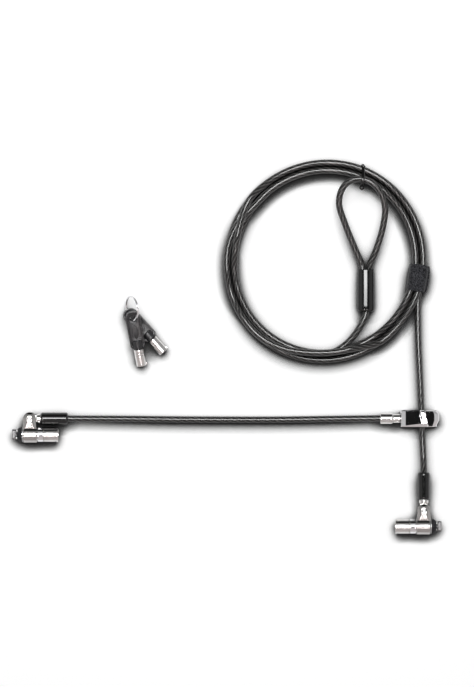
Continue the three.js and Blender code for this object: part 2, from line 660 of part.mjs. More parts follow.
// In a head's own frame the barrel axis is X, with the T-bar at +X, and the fork points to +Y.
function addHead(side, x, y, turnedOver, fold) {
  const head = new THREE.Group();
  head.position.set(x, y, AXIS_HEIGHT);
  head.rotation.y = turnedOver ? Math.PI : 0;
  lock.add(head);
  const cableSide = new THREE.Group();
  cableSide.position.set(0, FORK_PIN_HEIGHT, 0);
  cableSide.rotation.z = radians(fold);
  head.add(cableSide);
  addMesh(head, side + "_barrel_shell", barrelShell(), "nickel");
  addMesh(head, side + "_rear_sleeve", rearSleeve(), "nickel");
  addMesh(head, side + "_swivel_collar", swivelCollar(), "chrome");
  addMesh(head, side + "_fork_pin", forkPin(), "steel");
  addMesh(head, side + "_snap_ring", snapRing(), "steel");
  addMesh(head, side + "_guide_plate", guidePlate(), "steel");
  addMesh(head, side + "_nose_bumper", noseBumper(), "rubber");
  addMesh(head, side + "_t_bar", tBar(), "steel");
  addMesh(head, side + "_lock_rotor", lockRotor(), "brass");
  addMesh(head, side + "_lock_stator", lockStator(), "brass");
  addMesh(head, side + "_pin_set", pinSet(), "steel");
  addMesh(head, side + "_stator_dowel", statorDowel(), "steel");
  addMesh(cableSide, side + "_cable_eye", cableEye(), "nickel");
  addMesh(cableSide, side + "_ferrule_cover", ferruleCover(), "gloss");
}

// The front half of the barrel: a full-width rear part and a neck that runs inside the collar.
function barrelShell() {
  const neckBack = COLLAR_BACK - FIT_GAP;
  const frontWallBack = BARREL_FRONT - BARREL_FRONT_WALL;
  const outline = [
    [BARREL_BACK, CHAMBER_RADIUS],
    [BARREL_BACK, BARREL_RADIUS],
    [neckBack, BARREL_RADIUS],
    [neckBack, NECK_RADIUS],
    [SNAP_RING_BACK, NECK_RADIUS],
    [SNAP_RING_BACK, NECK_RADIUS - FIT_GAP],
    [BARREL_FRONT, NECK_RADIUS - FIT_GAP],
    [BARREL_FRONT, SPINDLE_HOLE_RADIUS],
    [frontWallBack, SPINDLE_HOLE_RADIUS],
    [frontWallBack, CHAMBER_RADIUS],
  ];
  return turned(outline, SIDES.barrel);
}

// The key end, with a slightly raised rim and the round key opening.
function rearSleeve() {
  const rimRadius = BARREL_RADIUS + KEY_FACE_RIM_HEIGHT;
  const rimEnd = KEY_FACE + KEY_FACE_RIM;
  const outline = [
    [KEY_FACE, KEYWAY_RADIUS],
    [KEY_FACE, rimRadius],
    [rimEnd, rimRadius],
    [rimEnd, BARREL_RADIUS],
    [REAR_SLEEVE_FRONT, BARREL_RADIUS],
    [REAR_SLEEVE_FRONT, KEYWAY_RADIUS],
  ];
  return cut(turned(outline, SIDES.barrel), dowelHole(0));
}

// Both the sleeve and the pin block are drilled for the dowel, from a height up.
function dowelHole(bottom) {
  const hole = rod("z", bottom, BARREL_RADIUS + OVERCUT, DOWEL_DIAMETER / 2 + FIT_GAP / 2, SIDES.dowel);
  return hole.translate(DOWEL_PLACE, 0, 0);
}

function statorDowel() {
  const bottom = STATOR_RADIUS - DOWEL_DEPTH;
  const dowel = rod("z", bottom, BARREL_RADIUS - FIT_GAP, DOWEL_DIAMETER / 2, SIDES.dowel);
  return dowel.translate(DOWEL_PLACE, 0, 0);
}

// The collar turns on the barrel's neck; its fork holds the cable eye on the fork pin.
function swivelCollar() {
  const outline = new THREE.Shape();
  outline.moveTo(-FORK_RADIUS, 0);
  outline.lineTo(FORK_RADIUS, 0);
  outline.absarc(0, FORK_PIN_HEIGHT, FORK_RADIUS, 0, Math.PI);
  outline.closePath();
  const fork = extruded(outline, FORK_THICKNESS, SIDES.hole).translate(0, 0, -FORK_THICKNESS / 2);
  const collar = rod("x", COLLAR_BACK, COLLAR_FRONT, COLLAR_DIAMETER / 2, SIDES.collar);
  const bore = rod("x", COLLAR_BACK - OVERCUT, COLLAR_FRONT + OVERCUT, COLLAR_BORE_RADIUS, SIDES.collar);
  const slotReach = FORK_SLOT_DEPTH + FORK_RADIUS + OVERCUT;
  const slotMiddle = FORK_PIN_HEIGHT - FORK_SLOT_DEPTH + slotReach / 2;
  const slot = block(2 * (FORK_RADIUS + OVERCUT), slotReach, FORK_SLOT, 0, slotMiddle, 0);
  const pinHole = rod("z", -FORK_THICKNESS, FORK_THICKNESS, FORK_PIN_DIAMETER / 2 + FIT_GAP, SIDES.hole);
  pinHole.translate(0, FORK_PIN_HEIGHT, 0);
  return cut(joined(collar, fork), bore, slot, pinHole);
}

function forkPin() {
  const reach = FORK_THICKNESS / 2 - FIT_GAP;
  return rod("z", -reach, reach, FORK_PIN_DIAMETER / 2, SIDES.hole).translate(0, FORK_PIN_HEIGHT, 0);
}

// A spring clip in a groove in front of the collar, open on one side.
function snapRing() {
  const radius = COLLAR_DIAMETER / 2 - COLLAR_WALL / 2;
  const whole = ring(SNAP_RING_BACK, BARREL_FRONT, radius, NECK_RADIUS, SIDES.barrel);
  const opening = 2 * radius * Math.sin(radians(SNAP_RING_SLOT / 2));
  return cut(whole, block(2 * (SNAP_RING_WIDTH + OVERCUT), radius, opening, BARREL_FRONT, -radius, 0));
}

// What the T-bar's spindle runs in.
function spindleHole(back, front) {
  return rod("x", back, front, SPINDLE_HOLE_RADIUS, SIDES.hole);
}

// Two flat pins on a plate stop the head from turning in the laptop's slot.
function guidePlate() {
  const plateFront = GUIDE_PLATE_BACK + GUIDE_PLATE_THICKNESS;
  const plate = rod("x", GUIDE_PLATE_BACK, plateFront, NOSE_BASE_DIAMETER / 2, SIDES.barrel);
  const pinLength = GUIDE_PIN_END - GUIDE_PLATE_BACK;
  const pinMiddle = GUIDE_PLATE_BACK + pinLength / 2;
  const pins = [-1, 1].map((hand) =>
    block(pinLength, GUIDE_PIN_WIDTH, GUIDE_PIN_HEIGHT, pinMiddle, (hand * GUIDE_PIN_SPACING) / 2, 0),
  );
  const hole = spindleHole(GUIDE_PLATE_BACK - OVERCUT, plateFront + OVERCUT);
  return cut(joined(plate, ...pins), hole);
}

function noseBumper() {
  const outline = [
    [NOSE_BACK, 0],
    [NOSE_BACK, NOSE_BASE_DIAMETER / 2],
    [NOSE_BACK + NOSE_LENGTH / 3, NOSE_BASE_DIAMETER / 2],
    [NOSE_FRONT, NOSE_TIP_DIAMETER / 2],
    [NOSE_FRONT, 0],
  ];
  const slotWidth = GUIDE_PIN_SPACING + GUIDE_PIN_WIDTH + 2 * FIT_GAP;
  const slotHeight = GUIDE_PIN_HEIGHT + 2 * FIT_GAP;
  const middle = (NOSE_BACK + NOSE_FRONT) / 2;
  const slot = block(NOSE_LENGTH + 2 * OVERCUT, slotWidth, slotHeight, middle, 0, 0);
  const hole = spindleHole(NOSE_BACK - OVERCUT, NOSE_FRONT + OVERCUT);
  return cut(turned(outline, SIDES.barrel), slot, hole);
}

function tBar() {
  const spindleBack = ROTOR_FRONT - SPINDLE_SOCKET;
  const spindleFront = CROSSBAR_BACK + CROSSBAR_THICKNESS / 2;
  const spindle = rod("x", spindleBack, spindleFront, SPINDLE_DIAMETER / 2, SIDES.hole);
  const outline = roundedRectangle(CROSSBAR_LENGTH, CROSSBAR_HEIGHT, CROSSBAR_HEIGHT / 2 - HAIR);
  const bar = extruded(outline, CROSSBAR_THICKNESS, 4);
  bar.rotateX(Math.PI / 2).rotateZ(Math.PI / 2).translate(CROSSBAR_BACK, 0, 0);
  return joined(spindle, bar);
}

function lockRotor() {
  const body = rod("x", ROTOR_BACK, ROTOR_FRONT, CHAMBER_RADIUS - FIT_GAP, SIDES.ferrule);
  const socketBack = ROTOR_FRONT - SPINDLE_SOCKET - FIT_GAP;
  return cut(body, spindleHole(socketBack, ROTOR_FRONT + OVERCUT));
}

// The fixed pin block, with the post that the tubular key fits over.
function lockStator() {
  const body = rod("x", STATOR_BACK, STATOR_FRONT, STATOR_RADIUS, SIDES.ferrule);
  const post = rod("x", KEY_FACE + POST_RECESS, STATOR_BACK + OVERCUT, POST_DIAMETER / 2, SIDES.hole);
  const holeRadius = PIN_DIAMETER / 2 + FIT_GAP / 2;
  const holeEnd = STATOR_BACK + PIN_LENGTH - PIN_WEB;
  const pinHoles = pinCircle((y, z) =>
    rod("x", STATOR_BACK - OVERCUT, holeEnd, holeRadius, SIDES.pin).translate(0, y, z),
  );
  return cut(joined(body, post), ...pinHoles, dowelHole(STATOR_RADIUS - DOWEL_DEPTH - FIT_GAP));
}

function pinCircle(makePin) {
  const pins = [];
  for (let pin = 0; pin < PIN_COUNT; pin++) {
    const angle = (2 * Math.PI * (pin + 0.5)) / PIN_COUNT;
    pins.push(makePin((PIN_CIRCLE / 2) * Math.cos(angle), (PIN_CIRCLE / 2) * Math.sin(angle)));
  }
  return pins;
}

// The seven pins, joined behind the key opening by a thin web that stands for their spring-loaded row.
function pinSet() {
  const webFront = STATOR_BACK - FIT_GAP;
  const webBack = webFront - PIN_WEB;
  const web = ring(webBack, webFront, PIN_CIRCLE / 2 + PIN_DIAMETER / 2, POST_DIAMETER / 2 + FIT_GAP, 14);
  const pinBack = webBack - PIN_WEB;
  const pins = pinCircle((y, z) =>
    rod("x", pinBack, pinBack + PIN_LENGTH, PIN_DIAMETER / 2, SIDES.pin).translate(0, y, z),
  );
  return joined(web, ...pins);
}

// The swaged eye on the cable's end: a tongue in the fork, a shoulder and a shank inside the cover. In the
// frame of the fork pin, with the cable at +Y.
function cableEye() {
  const outline = new THREE.Shape();
  outline.moveTo(-TONGUE_WIDTH / 2, FERRULE_START - EYE_SHOULDER_LENGTH);
  outline.lineTo(-TONGUE_WIDTH / 2, 0);
  outline.absarc(0, 0, TONGUE_RADIUS, Math.PI, 2 * Math.PI);
  outline.lineTo(TONGUE_WIDTH / 2, 0);
  outline.lineTo(TONGUE_WIDTH / 2, FERRULE_START - EYE_SHOULDER_LENGTH);
  outline.closePath();
  const thickness = FORK_SLOT - 2 * FIT_GAP;
  const tongue = extruded(outline, thickness, 10).translate(0, 0, -thickness / 2);
  const shoulderStart = FERRULE_START - FIT_GAP - EYE_SHOULDER_LENGTH;
  const shoulderEnd = FERRULE_START - FIT_GAP;
  const shoulder = rod("y", shoulderStart, shoulderEnd, EYE_SHOULDER_DIAMETER / 2, SIDES.ferrule);
  const shank = rod("y", shoulderStart, FERRULE_SEAT, EYE_SHANK_DIAMETER / 2, SIDES.hole);
  const hole = rod("z", -FORK_SLOT, FORK_SLOT, FORK_PIN_DIAMETER / 2 + FIT_GAP, SIDES.hole);
  return cut(joined(tongue, shoulder, shank), hole);
}

function ferruleCover() {
  const radius = FERRULE_DIAMETER / 2;
  const shankRadius = EYE_SHANK_DIAMETER / 2 + FIT_GAP;
  const outline = [
    [FERRULE_START, shankRadius],
    [FERRULE_START, radius - FERRULE_ROUND],
    [FERRULE_START + FERRULE_ROUND, radius],
    [FERRULE_END - FERRULE_ROUND, radius],
    [FERRULE_END, radius - FERRULE_ROUND],
    [FERRULE_END, CABLE_HOLE_RADIUS],
    [FERRULE_SEAT, CABLE_HOLE_RADIUS],
    [FERRULE_SEAT, shankRadius],
  ];
  return turned(outline, SIDES.ferrule).rotateZ(Math.PI / 2);
}

addHead("right", RIGHT_HEAD_X, RIGHT_HEAD_Y, false, 0);
addHead("left", LEFT_HEAD_X, LEFT_HEAD_Y, true, 90);

// ---- Slider loop --------------------------------------------------------------------------------------

function sliderLoop() {
  const outer = roundedRectangle(SLIDER_WIDTH, SLIDER_HEIGHT, SLIDER_CORNER);
  const innerWidth = SLIDER_WIDTH - 2 * SLIDER_WALL;
  const innerHeight = SLIDER_HEIGHT - 2 * SLIDER_WALL;
  const innerCorner = SLIDER_CORNER - SLIDER_WALL;
  outer.holes.push(roundedRectangle(innerWidth, innerHeight, innerCorner, new THREE.Path()));
  const frame = extruded(outer, SLIDER_LENGTH, 5)
    .rotateX(Math.PI / 2)
    .translate(SLIDER_X, SLIDER_Y + SLIDER_LENGTH / 2, SLIDER_AXIS_HEIGHT);
  const wallEnd = SLIDER_LEFT_X + 2 * SLIDER_WALL;
  const plan = extruded(sliderPlan(), SLIDER_HEIGHT + 2 * OVERCUT, 4);
  plan.translate(SLIDER_X, SLIDER_Y, -OVERCUT);
  const rivetHole = rod("x", SLIDER_LEFT_X - OVERCUT, wallEnd, RIVET_DIAMETER / 2 + FIT_GAP, SIDES.hole);
  rivetHole.translate(0, SLIDER_Y, SLIDER_AXIS_HEIGHT);
  return geometryOf(solidOf(frame).intersect(solidOf(plan)).subtract(solidOf(rivetHole)));
}

// The loop seen from above, about its own middle: nearly square at the ferrule and round at the far end.
function sliderPlan() {
  const x = SLIDER_WIDTH / 2 + HAIR;
  const y = SLIDER_LENGTH / 2 + HAIR;
  const far = SLIDER_END_ROUND;
  const near = SLIDER_FERRULE_END_ROUND;
  const plan = new THREE.Shape();
  plan.absarc(x - far, y - far, far, 0, Math.PI / 2);
  plan.absarc(near - x, y - near, near, Math.PI / 2, Math.PI);
  plan.absarc(near - x, near - y, near, Math.PI, 1.5 * Math.PI);
  plan.absarc(x - far, far - y, far, 1.5 * Math.PI, 2 * Math.PI);
  plan.closePath();
  return plan;
}

// The ferrule is riveted through the loop's wall and swaged on the second cable's end.
function sliderFerrule() {
  const left = SLIDER_FERRULE_LEFT;
  const right = SLIDER_LEFT_X - FIT_GAP;
  const neckStart = right - SLIDER_NECK_LENGTH;
  const headStart = SLIDER_LEFT_X + SLIDER_WALL + FIT_GAP;
  const radius = SLIDER_FERRULE_DIAMETER / 2;
  const outline = [
    [left, CABLE_HOLE_RADIUS],
    [left, radius - SLIDER_FERRULE_CHAMFER],
    [left + SLIDER_FERRULE_CHAMFER, radius],
    [neckStart - SLIDER_FERRULE_CHAMFER, radius],
    [neckStart, SLIDER_NECK_DIAMETER / 2],
    [right, SLIDER_NECK_DIAMETER / 2],
    [right, RIVET_DIAMETER / 2],
    [headStart, RIVET_DIAMETER / 2],
    [headStart, RIVET_HEAD_DIAMETER / 2],
    [headStart + RIVET_HEAD_HEIGHT, RIVET_HEAD_DIAMETER / 2 - RIVET_HEAD_CHAMFER],
    [headStart + RIVET_HEAD_HEIGHT, 0],
    [left + CABLE_SOCKET, 0],
    [left + CABLE_SOCKET, CABLE_HOLE_RADIUS],
  ];
  return turned(outline, SIDES.ferrule).translate(0, SLIDER_Y, SLIDER_AXIS_HEIGHT);
}

addMesh(lock, "slider_loop", sliderLoop(), "chrome");
addMesh(lock, "slider_ferrule", sliderFerrule(), "nickel");

// ---- Keys ---------------------------------------------------------------------------------------------

// In a key's own frame +X runs from the middle of the bow to the barrel's tip, and Z is through the bow.
function bowOutline(inset) {
  const halfWidth = KEY_BOW_WIDTH / 2 - inset;
  const end = KEY_BOW_LENGTH / 2 - inset;
  const archStart = KEY_BOW_WIDTH / 2 - KEY_BOW_LENGTH / 2;
  const shape = new THREE.Shape();
  shape.moveTo(end, halfWidth - KEY_BOW_SHOULDER);
  shape.lineTo(end - KEY_BOW_SHOULDER, halfWidth);
  shape.lineTo(archStart, halfWidth);
  shape.absarc(archStart, 0, halfWidth, Math.PI / 2, 1.5 * Math.PI);
  shape.lineTo(end - KEY_BOW_SHOULDER, -halfWidth);
  shape.lineTo(end, KEY_BOW_SHOULDER - halfWidth);
  shape.closePath();
  return shape;
}

function keyBow() {
  const end = KEY_BOW_LENGTH / 2;
  const plate = extruded(bowOutline(0), KEY_BOW_THICKNESS, 8).translate(0, 0, -KEY_BOW_THICKNESS / 2);
  const boss = rod("x", end - KEY_BOSS_LENGTH, end, KEY_BARREL_DIAMETER / 2, SIDES.ferrule);
  const recessTop = extruded(bowOutline(KEY_BOW_RIM), KEY_BOW_RECESS + OVERCUT, 8);
  recessTop.translate(0, 0, KEY_BOW_THICKNESS / 2 - KEY_BOW_RECESS);
  const recessBottom = recessTop.clone().rotateX(Math.PI);
  const hole = rod("z", -KEY_BOW_THICKNESS, KEY_BOW_THICKNESS, KEY_HOLE_DIAMETER / 2, SIDES.ferrule);
  hole.translate(KEY_HOLE_FROM_TOP - end, 0, 0);
  const stemHoleRadius = KEY_STEM_DIAMETER / 2 + FIT_GAP;
  const stemHole = rod("x", end - KEY_STEM_LENGTH, end + OVERCUT, stemHoleRadius, SIDES.hole);
  return cut(joined(cut(plate, recessTop, recessBottom, hole), boss), stemHole);
}

function keyBarrel() {
  const back = KEY_BOW_LENGTH / 2 + FIT_GAP;
  const radius = KEY_BARREL_DIAMETER / 2;
  const body = rod("x", back, KEY_TIP, radius, SIDES.barrel);
  const stem = rod("x", back - KEY_STEM_LENGTH, back + OVERCUT, KEY_STEM_DIAMETER / 2, SIDES.hole);
  const bore = rod("x", KEY_TIP - KEY_BORE_DEPTH, KEY_TIP + OVERCUT, KEY_BORE_DIAMETER / 2, SIDES.ferrule);
  const lug = block(2 * KEY_LUG_SIZE, KEY_LUG_SIZE, 2 * KEY_LUG_SIZE, KEY_TIP - 2 * KEY_LUG_SIZE, radius, 0);
  const cuts = [];
  for (let pin = 0; pin < PIN_COUNT; pin++) {
    const angle = (2 * Math.PI * (pin + 0.5)) / PIN_COUNT;
    const notch = block(2 * KEY_CUT_DEPTH, PIN_CIRCLE / 2, KEY_CUT_WIDTH, KEY_TIP, PIN_CIRCLE / 2, 0);
    cuts.push(notch.rotateX(angle));
  }
  return cut(joined(body, stem, lug), bore, ...cuts);
}

// Yaw and pitch are in degrees; the tip of the barrel rests on the table.
function addKey(name, x, y, yaw, pitch) {
  const group = new THREE.Group();
  const dip = radians(pitch);
  const tipHeight = (KEY_BARREL_DIAMETER / 2) * Math.cos(dip) + FLOOR_GAP;
  group.position.set(x, y, tipHeight + KEY_TIP * Math.sin(dip));
  group.rotation.set(0, dip, radians(yaw), "ZYX");
  lock.add(group);
  addMesh(group, name + "_bow", keyBow(), "plastic");
  addMesh(group, name + "_barrel", keyBarrel(), "nickel");
}

addKey("key_1", RING_X + KEY_1_RIGHT_OF_RING, RING_Y - KEY_1_BELOW_RING, KEY_1_YAW, KEY_1_PITCH);
addKey("key_2", RING_X + KEY_2_RIGHT_OF_RING, RING_Y - KEY_2_BELOW_RING, KEY_2_YAW, KEY_2_PITCH);

const keyRing = new THREE.TorusGeometry(RING_DIAMETER / 2, RING_WIRE_DIAMETER / 2, SIDES.pin, SIDES.collar);
keyRing.rotateX(radians(RING_LEAN)).rotateZ(radians(RING_YAW)).translate(RING_X, RING_Y, RING_HEIGHT);
addMesh(lock, "key_ring", keyRing, "chrome");

export default lock;
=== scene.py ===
import math
from math import radians

import bmesh
import bpy
from mathutils import Matrix, Vector


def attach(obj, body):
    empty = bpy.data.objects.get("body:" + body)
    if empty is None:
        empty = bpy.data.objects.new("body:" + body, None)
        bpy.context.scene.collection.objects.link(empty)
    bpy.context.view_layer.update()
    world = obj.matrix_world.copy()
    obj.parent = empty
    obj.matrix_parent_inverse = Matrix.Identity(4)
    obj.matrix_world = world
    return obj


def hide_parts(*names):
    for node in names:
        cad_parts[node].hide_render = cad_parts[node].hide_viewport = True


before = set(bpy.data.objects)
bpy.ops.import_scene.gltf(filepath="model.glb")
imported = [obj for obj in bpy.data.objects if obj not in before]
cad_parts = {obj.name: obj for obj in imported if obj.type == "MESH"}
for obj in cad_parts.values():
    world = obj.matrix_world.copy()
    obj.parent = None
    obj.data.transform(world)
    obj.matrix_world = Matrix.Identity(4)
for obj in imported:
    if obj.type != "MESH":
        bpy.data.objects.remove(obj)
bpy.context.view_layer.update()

# Shapes are worked out in millimetres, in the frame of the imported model, and scaled when a piece is
# finished. Angles are in degrees.
MM = 0.001
TAU = 2 * math.pi

# ---- Camera -------------------------------------------------------------------------------------------

CAMERA_HEIGHT = 2.0
HEIGHT_SEEN = 0.458  # along the picture's long side, at the height of the cables
CABLE_LEVEL = 0.0055
PICTURE_MIDDLE = (0.0068, 0.0478)

camera_data = bpy.data.cameras.new("camera")
camera_data.sensor_width = 36
camera_data.lens = camera_data.sensor_width * (CAMERA_HEIGHT - CABLE_LEVEL) / HEIGHT_SEEN
camera = bpy.data.objects.new("camera", camera_data)
camera.location = (*PICTURE_MIDDLE, CAMERA_HEIGHT)
bpy.context.collection.objects.link(camera)
bpy.context.scene.camera = camera

# ---- Making pieces ------------------------------------------------------------------------------------

WELD, FINE_WELD, NEGLIGIBLE = 0.0005, 0.0001, 0.00001  # points closer than these become one
SHARP_EDGE = 38
LONGEST_QUAD = 0.7  # along a turned piece, so that its roundings do not shade its straight lengths
CORNER_STEPS = 4  # round a corner of a turned outline
EDGE_STEPS = 3  # round an edge of a plate or a block


def finished(name, mesh, material, slot, body, replaced):
    """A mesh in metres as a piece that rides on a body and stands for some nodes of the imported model."""
    mesh.materials.append(material)
    piece = bpy.data.objects.new(name, mesh)
    bpy.context.collection.objects.link(piece)
    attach(piece, body)
    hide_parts(*replaced)
    return piece


def finish(name, shape, finish_name, body, replaced, place=Matrix(), sharp=SHARP_EDGE):
    """Closes a shape in millimetres, shades it and makes it a piece. Edges over sharp stay crisp."""
    bmesh.ops.remove_doubles(shape, verts=shape.verts[:], dist=WELD)
    bmesh.ops.recalc_face_normals(shape, faces=shape.faces[:])
    shape.transform(Matrix.Scale(MM, 4) @ place)
    for face in shape.faces:
        face.smooth = True
    for edge in shape.edges:
        if edge.is_manifold and edge.calc_face_angle() > radians(sharp):
            edge.smooth = False
    mesh = bpy.data.meshes.new(name)
    shape.to_mesh(mesh)
    shape.free()
    material, slot = FINISHES[finish_name]
    return finished(name, mesh, material, slot, body, replaced)


def together(*shapes):
    """Several shapes as one."""
    whole = bmesh.new()
    for shape in shapes:
        bmesh.ops.recalc_face_normals(shape, faces=shape.faces[:])
        part = bpy.data.meshes.new("part")
        shape.to_mesh(part)
        whole.from_mesh(part)
        bpy.data.meshes.remove(part)
        shape.free()
    return whole


def moved(shape, *matrices):
    """A shape after one move and then the next."""
    for matrix in matrices:
        shape.transform(matrix)
    return shape


def round_corner(shape, corner, rounding):
    """Rounds one corner of an outline."""
    bmesh.ops.bevel(
        shape, geom=[corner], offset=rounding, offset_type="OFFSET", segments=CORNER_STEPS, profile=0.5,
        affect="VERTICES", material=-1,
    )


def turned(outline, closed=True, steps=72):
    """A shape turned about X from an outline of (along, radius) or (along, radius, rounding) corners."""
    shape = bmesh.new()
    corners = [shape.verts.new((along, radius, 0)) for along, radius, *_ in outline]
    pairs = list(zip(corners, corners[1:]))
    if closed:
        pairs.append((corners[-1], corners[0]))
    for pair in pairs:
        shape.edges.new(pair)
    for corner, (_, _, *rounding) in zip(corners, outline):
        if rounding:
            round_corner(shape, corner, rounding[0])
    for edge in [edge for edge in shape.edges if edge.calc_length() > 2 * LONGEST_QUAD]:
        bmesh.ops.subdivide_edges(shape, edges=[edge], cuts=int(edge.calc_length() / LONGEST_QUAD))
    bmesh.ops.spin(
        shape, geom=shape.verts[:] + shape.edges[:], cent=(0, 0, 0), axis=(1, 0, 0),
        dvec=(0, 0, 0), angle=TAU, steps=steps, use_merge=True, use_duplicate=False,
    )
    bmesh.ops.remove_doubles(shape, verts=shape.verts[:], dist=FINE_WELD)
    bmesh.ops.dissolve_degenerate(shape, dist=NEGLIGIBLE, edges=shape.edges[:])
    return shape


def soften(shape, size, wanted):
    """Rounds the edges that are wanted."""
    edges = [edge for edge in shape.edges if wanted(edge)]
    bmesh.ops.bevel(
        shape, geom=edges, offset=size, offset_type="OFFSET", segments=EDGE_STEPS, profile=0.5,
        affect="EDGES", material=-1, clamp_overlap=True,
    )


def slab(outline, bottom, top, rim):
    """A plate between two heights with rounded rims."""
    shape = bmesh.new()
    corners = [shape.verts.new((x, y, bottom)) for x, y in outline]
    edges = [shape.edges.new(pair) for pair in zip(corners, corners[1:] + corners[:1])]
    face = bmesh.ops.contextual_create(shape, geom=edges)["faces"]
    raised = bmesh.ops.extrude_face_region(shape, geom=face)["geom"]
    verts = [part for part in raised if isinstance(part, bmesh.types.BMVert)]
    bmesh.ops.translate(shape, verts=verts, vec=(0, 0, top - bottom))
    soften(shape, rim, lambda edge: abs(edge.verts[0].co.z - edge.verts[1].co.z) < NEGLIGIBLE)
    return shape


def rounded_block(size, centre, rim):
    shape = bmesh.new()
    bmesh.ops.create_cube(shape, size=1)
    bmesh.ops.scale(shape, verts=shape.verts[:], vec=size)
    bmesh.ops.translate(shape, verts=shape.verts[:], vec=centre)
    soften(shape, rim, lambda edge: True)
    return shape


def loft(rings, closed=False):
    """A skin over rings of as many points each, closed in a round or filled at both ends."""
    shape = bmesh.new()
    loops = []
    for ring in rings:
        verts = [shape.verts.new(point) for point in ring]
        loops.append([shape.edges.new(pair) for pair in zip(verts, verts[1:] + verts[:1])])
    following = loops[1:] + (loops[:1] if closed else [])
    for one, other in zip(loops, following):
        bmesh.ops.bridge_loops(shape, edges=one + other)
    if not closed:
        for end in (loops[0], loops[-1]):
            bmesh.ops.contextual_create(shape, geom=end)
    return shape


def both_faces(face):
    """Rings of (outline, height) for a plate whose underside mirrors its upper face."""
    return [(outline, -height) for outline, height in face[::-1]] + face


def solid_ring(rings):
    """A loft closed in a round from rings of (outline, height)."""
    return loft([[(x, y, height) for x, y in outline] for outline, height in rings], closed=True)


def part_way(start, end, share):
    """The point at a share of the way between two others."""
    return tuple(one + (other - one) * share for one, other in zip(start, end))


def arc(centre, radius, start, end, steps):
    """Points on an arc."""
    points = []
    for step in range(steps + 1):
        angle = radians(start + (end - start) * step / steps)
        points.append((centre[0] + radius * math.cos(angle), centre[1] + radius * math.sin(angle)))
    return points


def drawn_in(outline, centre, radius):
    """A round hole with a point for each point of an outline, seen from the hole's centre."""
    points = []
    for x, y in outline:
        away = math.hypot(x - centre[0], y - centre[1])
        points.append((
            centre[0] + radius * (x - centre[0]) / away, centre[1] + radius * (y - centre[1]) / away,
        ))
    return points


def oval(width, height, count, power=2.0):
    """Points round an oval; a power over 2 makes it squarer."""
    points = []
    for index in range(count):
        angle = TAU * index / count
        x, y = math.cos(angle), math.sin(angle)
        points.append((
            width / 2 * math.copysign(abs(x) ** (2 / power), x),
            height / 2 * math.copysign(abs(y) ** (2 / power), y),
        ))
    return points


# ---- Finishes -----------------------------------------------------------------------------------------


def new_group(name, inputs, outputs):
    """A shader node group, with its named sockets, and its inner nodes' input and output."""
    group = bpy.data.node_groups.new(name, "ShaderNodeTree")
    for label, kind, value in inputs:
        socket = group.interface.new_socket(label, in_out="INPUT", socket_type=kind)
        if value is not None:
            socket.default_value = value
    for label, kind in outputs:
        group.interface.new_socket(label, in_out="OUTPUT", socket_type=kind)
    return group, group.nodes.new("NodeGroupInput"), group.nodes.new("NodeGroupOutput")


def add(tree, kind, links=None, **settings):
    """A node with its settings, and values or sockets for its inputs by name or number."""
    node = tree.nodes.new(kind)
    for label, value in settings.items():
        setattr(node, label, value)
    for label, value in (links or {}).items():
        if isinstance(value, bpy.types.NodeSocket):
            tree.links.new(value, node.inputs[label])
        else:
            node.inputs[label].default_value = value
    return node


def maths(tree, operation, *values):
    return add(tree, "ShaderNodeMath", dict(enumerate(values)), operation=operation).outputs[0]


def folded(tree, operation, first, *others):
    """The product, sum or largest of several values."""
    for other in others:
        first = maths(tree, operation, first, other)
    return first


def ramped(tree, value, low, high, start=0.0, stop=1.0):
    """A value spread smoothly from one range to another."""
    node = add(tree, "ShaderNodeMapRange", {
        "Value": value, "From Min": low, "From Max": high, "To Min": start, "To Max": stop,
    }, interpolation_type="SMOOTHSTEP")
    return node.outputs["Result"]


VECTOR, FLOAT = "NodeSocketVector", "NodeSocketFloat"


def make_uneven():
    """A value that drifts between two limits, in soft patches with a few finer spots."""
    group, start, end = new_group(
        "uneven finish",
        [
            ("Vector", VECTOR, None), ("Patch Scale", FLOAT, 300.0),
            ("Low", FLOAT, 0.1), ("High", FLOAT, 0.3),
        ],
        [("Value", FLOAT)],
    )
    patches = add(group, "ShaderNodeTexNoise", {
        "Vector": start.outputs["Vector"], "Scale": start.outputs["Patch Scale"],
        "Detail": 4.0, "Roughness": 0.6,
    })
    spread = add(group, "ShaderNodeMapRange", {
        "Value": patches.outputs["Fac"], "From Min": 0.3, "From Max": 0.7,
        "To Min": start.outputs["Low"], "To Max": start.outputs["High"],
    })
    group.links.new(spread.outputs["Result"], end.inputs["Value"])
    return group


def make_grain():
    """Height of a fine moulded or cast grain."""
    group, start, end = new_group(
        "fine grain", [("Vector", VECTOR, None), ("Grain Scale", FLOAT, 2500.0)], [("Height", FLOAT)],
    )
    fine = add(group, "ShaderNodeTexNoise", {
        "Vector": start.outputs["Vector"], "Scale": start.outputs["Grain Scale"],
        "Detail": 3.0, "Roughness": 0.55,
    })
    cells = add(group, "ShaderNodeTexVoronoi", {
        "Vector": start.outputs["Vector"], "Scale": start.outputs["Grain Scale"],
    })
    height = maths(group, "ADD", fine.outputs["Fac"], cells.outputs["Distance"])
    group.links.new(height, end.inputs["Height"])
    return group


def make_turning_marks():
    """Height of the fine lines that a cutting tool leaves across an axis."""
    group, start, end = new_group(
        "turning marks",
        [("Vector", VECTOR, None), ("Axis", VECTOR, (1.0, 0.0, 0.0)), ("Lines", FLOAT, 9000.0)],
        [("Height", FLOAT)],
    )
    along = add(group, "ShaderNodeVectorMath", {0: start.outputs["Vector"], 1: start.outputs["Axis"]},
                operation="DOT_PRODUCT").outputs["Value"]
    lines = maths(group, "MULTIPLY", along, start.outputs["Lines"])
    noise = add(group, "ShaderNodeTexNoise", {"W": lines, "Scale": 1.0, "Detail": 2.0},
                noise_dimensions="1D")
    group.links.new(noise.outputs["Fac"], end.inputs["Height"])
    return group


